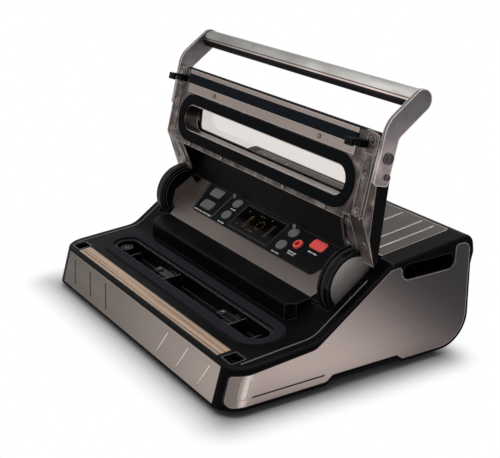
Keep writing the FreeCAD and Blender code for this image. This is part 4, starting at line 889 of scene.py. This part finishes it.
def deck_beads():
    """Fine raised line inside the rim on both sides of the deck, coloured grey as a painted highlight."""
    mesh = bmesh.new()
    for x in (-BEAD_X, BEAD_X):
        bead(mesh, rim_path(x), BEAD_R)
    piece("deck_beads", mesh, DECK, "base", rim_highlight)


BEZEL_HALF = 8.0
BEZEL_W = 1.4
BEZEL_ROUND = (2.0, 0.6)
BEZEL_RISE = 0.6


def catch_bezels():
    """Slim frames round the two catch holes."""
    mesh = bmesh.new()
    reach = BEZEL_HALF + BEZEL_W
    for x in (-CATCH_X, CATCH_X):
        inner = rounded(x - BEZEL_HALF, x + BEZEL_HALF, *CATCH_V, BEZEL_ROUND[1])
        outer = rounded(x - reach, x + reach, CATCH_V[0] - BEZEL_W, CATCH_V[1] + BEZEL_W, BEZEL_ROUND[0])
        ring_slab(mesh, outer, inner, -BEZEL_RISE, BEZEL_RISE)
    piece("catch_bezels", mesh, DECK, "base", gloss_black, bevel=0.2)


WALL_T = 1.6
WALL_REACH = 10.5
WALL_ROUND = 0.4


def cross_wall(mesh, x, top):
    """Thin wall across the trough, from x to the right."""
    outline = rounded(x, x + WALL_T, TROUGH_MID - WALL_REACH, TROUGH_MID + WALL_REACH, WALL_ROUND)
    slab(mesh, outline, TROUGH_FLOOR - SINK_DEEP, top)


def spokes(mesh, middle, count, reach, width, heights):
    """Short bars round a middle, each between two distances from it."""
    for i in range(count):
        turn = 2 * math.pi * i / count
        ahead = Vector((math.cos(turn), math.sin(turn)))
        start, end = (Vector(middle) + ahead * distance for distance in reach)
        slab(mesh, strip(start, end, width), *heights)


PORTS = ((-140.0, 14.5), (139.0, 4.0))
PORT_R = (7.4, 6.2)
HUB_R = (3.8, 2.8)
PORT_SPOKES = 8
SPOKE_REACH = (3.6, 6.4)
SPOKE_W = 1.0
SPOKE_DROP = (1.6, 0.2)
PORT_RIB_AWAY = 13.0
PORT_RIB_RISE = 9.0


def suction_ports():
    """Spoked suction ports at both ends of the trough, the left one raised, with a low rib beside each."""
    mesh = bmesh.new()
    for x, rise in PORTS:
        top = TROUGH_FLOOR + rise
        for radii in (PORT_R, HUB_R):
            outer, inner = (circle(x, TROUGH_MID, radius) for radius in radii)
            ring_slab(mesh, outer, inner, TROUGH_FLOOR - SINK_DEEP, top)
        heights = [top - drop for drop in SPOKE_DROP]
        spokes(mesh, (x, TROUGH_MID), PORT_SPOKES, SPOKE_REACH, SPOKE_W, heights)
        inward = x - math.copysign(PORT_RIB_AWAY, x)
        cross_wall(mesh, inward - WALL_T / 2, TROUGH_FLOOR + PORT_RIB_RISE)
    piece("suction_ports", mesh, DECK, "base", gloss_black, bevel=0.25)


STOP_WALL_GAP = 0.4
STOP_WALL_RISE = 1.2
STOP_LUG_X = (-14.0, -6.5)
STOP_LUG_HALF = 3.6
STOP_LUG_ROUND = 1.6
STOP_LUG_RISE = 1.4
STOP_FIN_X = (6.0, 13.0)
STOP_FIN_V = (-7.4, -4.4)
STOP_FIN_ROUND = 0.8
STOP_FIN_DROP = 1.8


def stop_fittings():
    """Cross wall, fastening lug and fin at each bag stop."""
    mesh = bmesh.new()
    lug_v = (TROUGH_MID - STOP_LUG_HALF, TROUGH_MID + STOP_LUG_HALF)
    fin_v = [TROUGH_MID + v for v in STOP_FIN_V]
    for x in STOP_X:
        cross_wall(mesh, x + STOP_HALF + STOP_WALL_GAP, STOP_TOP + STOP_WALL_RISE)
        lug = rounded(*(x + end for end in STOP_LUG_X), *lug_v, STOP_LUG_ROUND)
        slab(mesh, lug, STOP_TOP - SINK, STOP_TOP + STOP_LUG_RISE)
        fin = rounded(*(x + end for end in STOP_FIN_X), *fin_v, STOP_FIN_ROUND)
        slab(mesh, fin, TROUGH_FLOOR, STOP_TOP - STOP_FIN_DROP)
    piece("stop_fittings", mesh, DECK, "base", gloss_black, bevel=0.25)


STOP_SCREW_X = -10.2
STOP_SCREW_R = 2.2
STOP_SCREW_RISE = 0.9
PORT_SCREW_R = 2.6


def stop_screws():
    """Screw on the lug of each bag stop, and in each suction port."""
    mesh = bmesh.new()
    seat = STOP_TOP + STOP_LUG_RISE - SINK_FINE
    for x in STOP_X:
        screw_head(mesh, x + STOP_SCREW_X, TROUGH_MID, seat, STOP_SCREW_RISE, STOP_SCREW_R)
    for x, rise in PORTS:
        screw_head(mesh, x, TROUGH_MID, TROUGH_FLOOR - SINK, rise, PORT_SCREW_R)
    piece("stop_screws", mesh, DECK, "base", screw_steel, bevel=0.2)


# Painted shade and painted highlights along the pressed lines in the steel skins
GROOVE_FLOOR = -PRESSED_DEEP - SINK_FINE
LINE_INSET = 1.0
SHADE_W = PRESSED_W + 1.0
SHADE_RISE = 0.06
SIDE_SHADE_DROP = 0.02
RIDGE_W = PRESSED_W - 0.2
RIDGE_RISE = 0.25
TOP_RIDGE_W = 0.7
TOP_RIDGE_GAP = 0.3
TOP_RIDGE_RISE = 0.2


def front_lines(mesh, side, width, top):
    """Strips along the leaning grooves on one side of the front skin, for painted shade or painted
    highlights.
    """
    half = FRONT_LINE_LENGTH / 2 - LINE_INSET
    for x in FRONT_LINE_X:
        foot = (side * x, FRONT_MIDDLE - half)
        head = (side * (x + FRONT_LINE_LEAN), FRONT_MIDDLE + half)
        slab(mesh, strip(foot, head, width), GROOVE_FLOOR, top)


def pressed_lines():
    """Dark strips of painted shade filling the grooves on the left of the front and along the sides."""
    mesh = bmesh.new()
    front_lines(mesh, -1, SHADE_W, SHADE_RISE)
    piece("front_shades", mesh, FRONT, "base", groove_shade)
    mesh = bmesh.new()
    ends = [(y, SIDE_LINE_Z) for y in SIDE_LINE_Y]
    for side in (-1, 1):
        depths = (side * (SIDE_X + GROOVE_FLOOR), side * (SIDE_X - SIDE_SHADE_DROP))
        slab(mesh, strip(*ends, PRESSED_W), *sorted(depths))
    piece("side_shades", mesh, SIDEWAYS, "base", groove_shade)


def highlight_lines():
    """Ridges with painted highlights in the grooves on the right of the front and beside those of the rear
    top.
    """
    mesh = bmesh.new()
    front_lines(mesh, 1, RIDGE_W, RIDGE_RISE)
    piece("front_ridges", mesh, FRONT, "base", highlight_steel, bevel=0.2)
    mesh = bmesh.new()
    for x in TOP_LINE_X:
        for side in (-1, 1):
            middle = side * x + PRESSED_W / 2 + TOP_RIDGE_GAP
            line = strip((middle, LINE_INSET), (middle, TOP_LINE_LENGTH - LINE_INSET), TOP_RIDGE_W)
            slab(mesh, line, -SINK_FINE, TOP_RIDGE_RISE)
    piece("top_ridges", mesh, TOP, "base", highlight_steel, bevel=0.1)


# Key panel details
FILM = 0.06
WORD_SHARES = (0.34, 0.22, 0.44)
WORD_GAP = 0.9
WORD_ROUND = 0.3


def dashes(mesh, x0, x1, s, height, low):
    """Short row of plain dashes, from x0 to x1 at a height s up the panel."""
    room = x1 - x0 - WORD_GAP * (len(WORD_SHARES) - 1)
    x = x0
    for share in WORD_SHARES:
        word = rounded(x, x + room * share, s - height / 2, s + height / 2, WORD_ROUND, FEW_STEPS)
        slab(mesh, word, low, low + FILM)
        x += room * share + WORD_GAP


GROUP_LINES = (((-116.4, 21.4), (-131.8, 61.0)), ((-76.2, 22.4), (-79.0, 61.5)))
GROUP_LINE_W = 0.7
DISPLAY_FRAME_X = (-44.6, 34.2)
DISPLAY_FRAME_S = (22.6, 56.4)
DISPLAY_FRAME_W = 0.7
DISPLAY_FRAME_ROUND = (1.6, 1.2)


def display_frame(inset, corner):
    """Outline round the display, drawn in by an inset."""
    left, right = DISPLAY_FRAME_X
    low, high = DISPLAY_FRAME_S
    return rounded(left + inset, right - inset, low + inset, high - inset, corner)


def panel_lines():
    """Light lines between the groups of keys and a dim one round the display."""
    heights = (OVERLAY_TOP, OVERLAY_TOP + FILM)
    mesh = bmesh.new()
    for start, end in GROUP_LINES:
        slab(mesh, strip(start, end, GROUP_LINE_W), *heights)
    piece("panel_lines", mesh, PANEL, "base", grey_print)
    mesh = bmesh.new()
    outer = display_frame(0.0, DISPLAY_FRAME_ROUND[0])
    inner = display_frame(DISPLAY_FRAME_W, DISPLAY_FRAME_ROUND[1])
    ring_slab(mesh, outer, inner, *heights)
    piece("display_line", mesh, PANEL, "base", dim_print)


LABELS = (
    (-114.4, -97.0, 21.6), (-95.0, -78.2, 21.6), (-62.6, -50.4, 21.6), (45.2, 58.4, 21.8),
    (-62.6, -53.4, 41.6), (65.0, 78.6, 30.6), (66.4, 77.4, 28.0), (87.8, 102.0, 40.4),
)
LABEL_H = 1.5


def panel_labels():
    """Rows of plain dashes under the keys."""
    mesh = bmesh.new()
    for x0, x1, s in LABELS:
        dashes(mesh, x0, x1, s, LABEL_H, OVERLAY_TOP)
    piece("panel_labels", mesh, PANEL, "base", white_print)


LADDERS = ((-21.0, 30.0), (19.0, 31.0))
BARS = 6
BAR_PITCH = 3.0
BAR_HALF = 2.6
BAR_LEAN = 0.5
BAR_W = 0.8
DIAL_MIDDLE = (0.0, 39.6)
DIAL_STROKES = 10
DIAL_REACH = (4.6, 6.6)
DIAL_STROKE_W = 0.9
DOTS = ((-32.4, 29.4), (-32.4, 49.4), (9.4, 51.4))
DOT_R = 0.9
DOT_STEPS = 16
DISPLAY_ROWS = ((-14.0, -2.0, 28.6), (-12.0, -4.0, 50.4))
DISPLAY_ROW_H = 1.0


def display_marks():
    """Two ladders of bars, a ring of strokes, a few dots and two rows of dashes on the display."""
    mesh = bmesh.new()
    heights = (DISPLAY_TOP, DISPLAY_TOP + FILM)
    for x, start in LADDERS:
        for i in range(BARS):
            s = start + BAR_PITCH * i
            slab(mesh, strip((x - BAR_HALF, s - BAR_LEAN), (x + BAR_HALF, s + BAR_LEAN), BAR_W), *heights)
    spokes(mesh, DIAL_MIDDLE, DIAL_STROKES, DIAL_REACH, DIAL_STROKE_W, heights)
    for x, s in DOTS:
        slab(mesh, circle(x, s, DOT_R, DOT_STEPS), *heights)
    for x0, x1, s in DISPLAY_ROWS:
        dashes(mesh, x0, x1, s, DISPLAY_ROW_H, DISPLAY_TOP)
    piece("display_marks", mesh, PANEL, "base", amber_marks)


# Back details
INLET = (130.0, 122.0, 62.0)
PINS = ((-6.0, -1.6), (6.0, -1.6), (0.0, 2.2))
PIN_HALF_X = 0.8
PIN_HALF_Z = 1.8
PIN_LENGTH = 13.0
PIN_ROUND = 0.4


def inlet_pins():
    """Three flat contacts inside the power inlet."""
    mesh = bmesh.new()
    for dx, dz in PINS:
        x, y, z = Vector(INLET) + Vector((dx, 0.0, dz))
        pin = rounded(x - PIN_HALF_X, x + PIN_HALF_X, y, y + PIN_LENGTH, PIN_ROUND, FEW_STEPS)
        slab(mesh, pin, z - PIN_HALF_Z, z + PIN_HALF_Z)
    piece("inlet_pins", mesh, PLAIN, "base", screw_steel, bevel=0.15)


# Works under the deck
COIL_R = 3.5
COIL_WIRE_R = 0.6
COIL_TURNS = 7
COIL_STEPS = 24


def latch_coil():
    """Coiled spring along the length of the latch spring, which it replaces."""
    low, high = (Vector(corner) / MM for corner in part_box("latch_spring"))
    start = low.x + COIL_WIRE_R
    length = high.x - low.x - 2 * COIL_WIRE_R
    middle = (low + high) / 2
    path = []
    for i in range(COIL_TURNS * COIL_STEPS + 1):
        turn = 2 * math.pi * i / COIL_STEPS
        x = start + length * i / (COIL_TURNS * COIL_STEPS)
        path.append(Vector((x, middle.y + COIL_R * math.cos(turn), middle.z + COIL_R * math.sin(turn))))
    mesh = bmesh.new()
    bead(mesh, path, COIL_WIRE_R)
    made = piece("latch_coil", mesh, PLAIN, "base", screw_steel)
    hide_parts("latch_spring")
    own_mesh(made)


DETAILS = (
    lid_lip, frame_ribs, rail_lugs, rail_foot_screws, opening_trim, lid_clips, drum_rings,
    deck_beads, catch_bezels, suction_ports, stop_fittings, stop_screws, pressed_lines, highlight_lines,
    panel_lines, panel_labels, display_marks, inlet_pins, latch_coil,
)
for detail in DETAILS:
    detail()


# Floor, light and camera
FLOOR_HALF = 12.0
CAMERA_AT = Vector((0.8968, -0.5584, 0.4794))
CAMERA_AHEAD = Vector((-0.7981, 0.4981, -0.3390))
CAMERA_LENS = 76.87
CAMERA_SHIFT = (0.0032, -0.0053)
LAMPS = (
    ("key_lamp", (-0.35, 0.65, 2.0), 1.0, 26.0),
    ("front_lamp", (0.25, -1.0, 2.0), 1.6, 20.0),
)
LAMP_AIM = Vector((0, 0, 0.08))
SOFT_LIGHT = 0.25
SHADOW_REACH = 0.048
FLOOR_SHADE = 0.52


def seen_rays(tree):
    """1 for the rays that show the surroundings: straight, mirrored or through glass."""
    path = tree.nodes.new("ShaderNodeLightPath")
    total = path.outputs["Is Camera Ray"]
    for name in ("Is Glossy Ray", "Is Transmission Ray"):
        most = tree.nodes.new("ShaderNodeMath")
        most.operation = "MAXIMUM"
        tree.links.new(total, most.inputs[0])
        tree.links.new(path.outputs[name], most.inputs[1])
        total = most.outputs[0]
    return total


def vector_step(tree, operation, first, second=(0, 0, 0)):
    step = tree.nodes.new("ShaderNodeVectorMath")
    step.operation = operation
    tree.links.new(first, step.inputs[0])
    step.inputs[1].default_value = second
    return step.outputs["Value" if operation == "LENGTH" else "Vector"]


def white_floor():
    """Pale floor that keeps the shadow beside the part and is plain white further out."""
    material = bpy.data.materials.new("pale_floor")
    material.use_nodes = True
    tree = material.node_tree
    tree.nodes.clear()
    coords = tree.nodes.new("ShaderNodeTexCoord").outputs["Object"]
    low, high = (Vector(corner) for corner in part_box("base_tray"))
    from_middle = vector_step(tree, "ABSOLUTE", vector_step(tree, "SUBTRACT", coords, (low + high) / 2))
    past_foot = vector_step(tree, "SUBTRACT", from_middle, (*(high - low).xy / 2, high.z))
    distance = vector_step(tree, "LENGTH", vector_step(tree, "MAXIMUM", past_foot))
    fade = tree.nodes.new("ShaderNodeMapRange")
    fade.interpolation_type = "SMOOTHSTEP"
    fade.inputs["From Max"].default_value = SHADOW_REACH
    tree.links.new(distance, fade.inputs["Value"])
    share = tree.nodes.new("ShaderNodeMath")
    share.operation = "MULTIPLY"
    tree.links.new(fade.outputs["Result"], share.inputs[0])
    tree.links.new(seen_rays(tree), share.inputs[1])
    matt = tree.nodes.new("ShaderNodeBsdfDiffuse")
    matt.inputs["Color"].default_value = (FLOOR_SHADE, FLOOR_SHADE, FLOOR_SHADE, 1.0)
    plain = tree.nodes.new("ShaderNodeEmission")
    mixed = tree.nodes.new("ShaderNodeMixShader")
    tree.links.new(share.outputs[0], mixed.inputs["Fac"])
    tree.links.new(matt.outputs[0], mixed.inputs[1])
    tree.links.new(plain.outputs[0], mixed.inputs[2])
    output = tree.nodes.new("ShaderNodeOutputMaterial")
    tree.links.new(mixed.outputs[0], output.inputs["Surface"])
    return material


def floor():
    mesh = bmesh.new()
    bmesh.ops.create_grid(mesh, x_segments=1, y_segments=1, size=FLOOR_HALF)
    data = bpy.data.meshes.new("floor")
    mesh.to_mesh(data)
    mesh.free()
    data.materials.append(white_floor())
    made = bpy.data.objects.new("floor", data)
    bpy.context.scene.collection.objects.link(made)


def surroundings():
    """White where it is seen, and a softer light on the part."""
    world = bpy.data.worlds.new("studio")
    world.use_nodes = True
    tree = world.node_tree
    tree.nodes.clear()
    shown = tree.nodes.new("ShaderNodeBackground")
    soft = tree.nodes.new("ShaderNodeBackground")
    shown.inputs["Color"].default_value = WHITE
    soft.inputs["Color"].default_value = WHITE
    soft.inputs["Strength"].default_value = SOFT_LIGHT
    mixed = tree.nodes.new("ShaderNodeMixShader")
    tree.links.new(seen_rays(tree), mixed.inputs["Fac"])
    tree.links.new(soft.outputs[0], mixed.inputs[1])
    tree.links.new(shown.outputs[0], mixed.inputs[2])
    output = tree.nodes.new("ShaderNodeOutputWorld")
    tree.links.new(mixed.outputs[0], output.inputs["Surface"])
    bpy.context.scene.world = world


def lamps():
    for name, place, size, power in LAMPS:
        data = bpy.data.lights.new(name, "AREA")
        data.size = size
        data.energy = power
        lamp = bpy.data.objects.new(name, data)
        lamp.location = place
        lamp.rotation_euler = (LAMP_AIM - Vector(place)).to_track_quat("-Z", "Y").to_euler()
        bpy.context.scene.collection.objects.link(lamp)


def camera():
    data = bpy.data.cameras.new("camera")
    data.lens = CAMERA_LENS
    data.shift_x, data.shift_y = CAMERA_SHIFT
    made = bpy.data.objects.new("camera", data)
    made.location = CAMERA_AT
    made.rotation_euler = CAMERA_AHEAD.to_track_quat("-Z", "Y").to_euler()
    bpy.context.scene.collection.objects.link(made)
    bpy.context.scene.camera = made


floor()
surroundings()
lamps()
camera()
bpy.context.scene.view_settings.view_transform = "Standard"
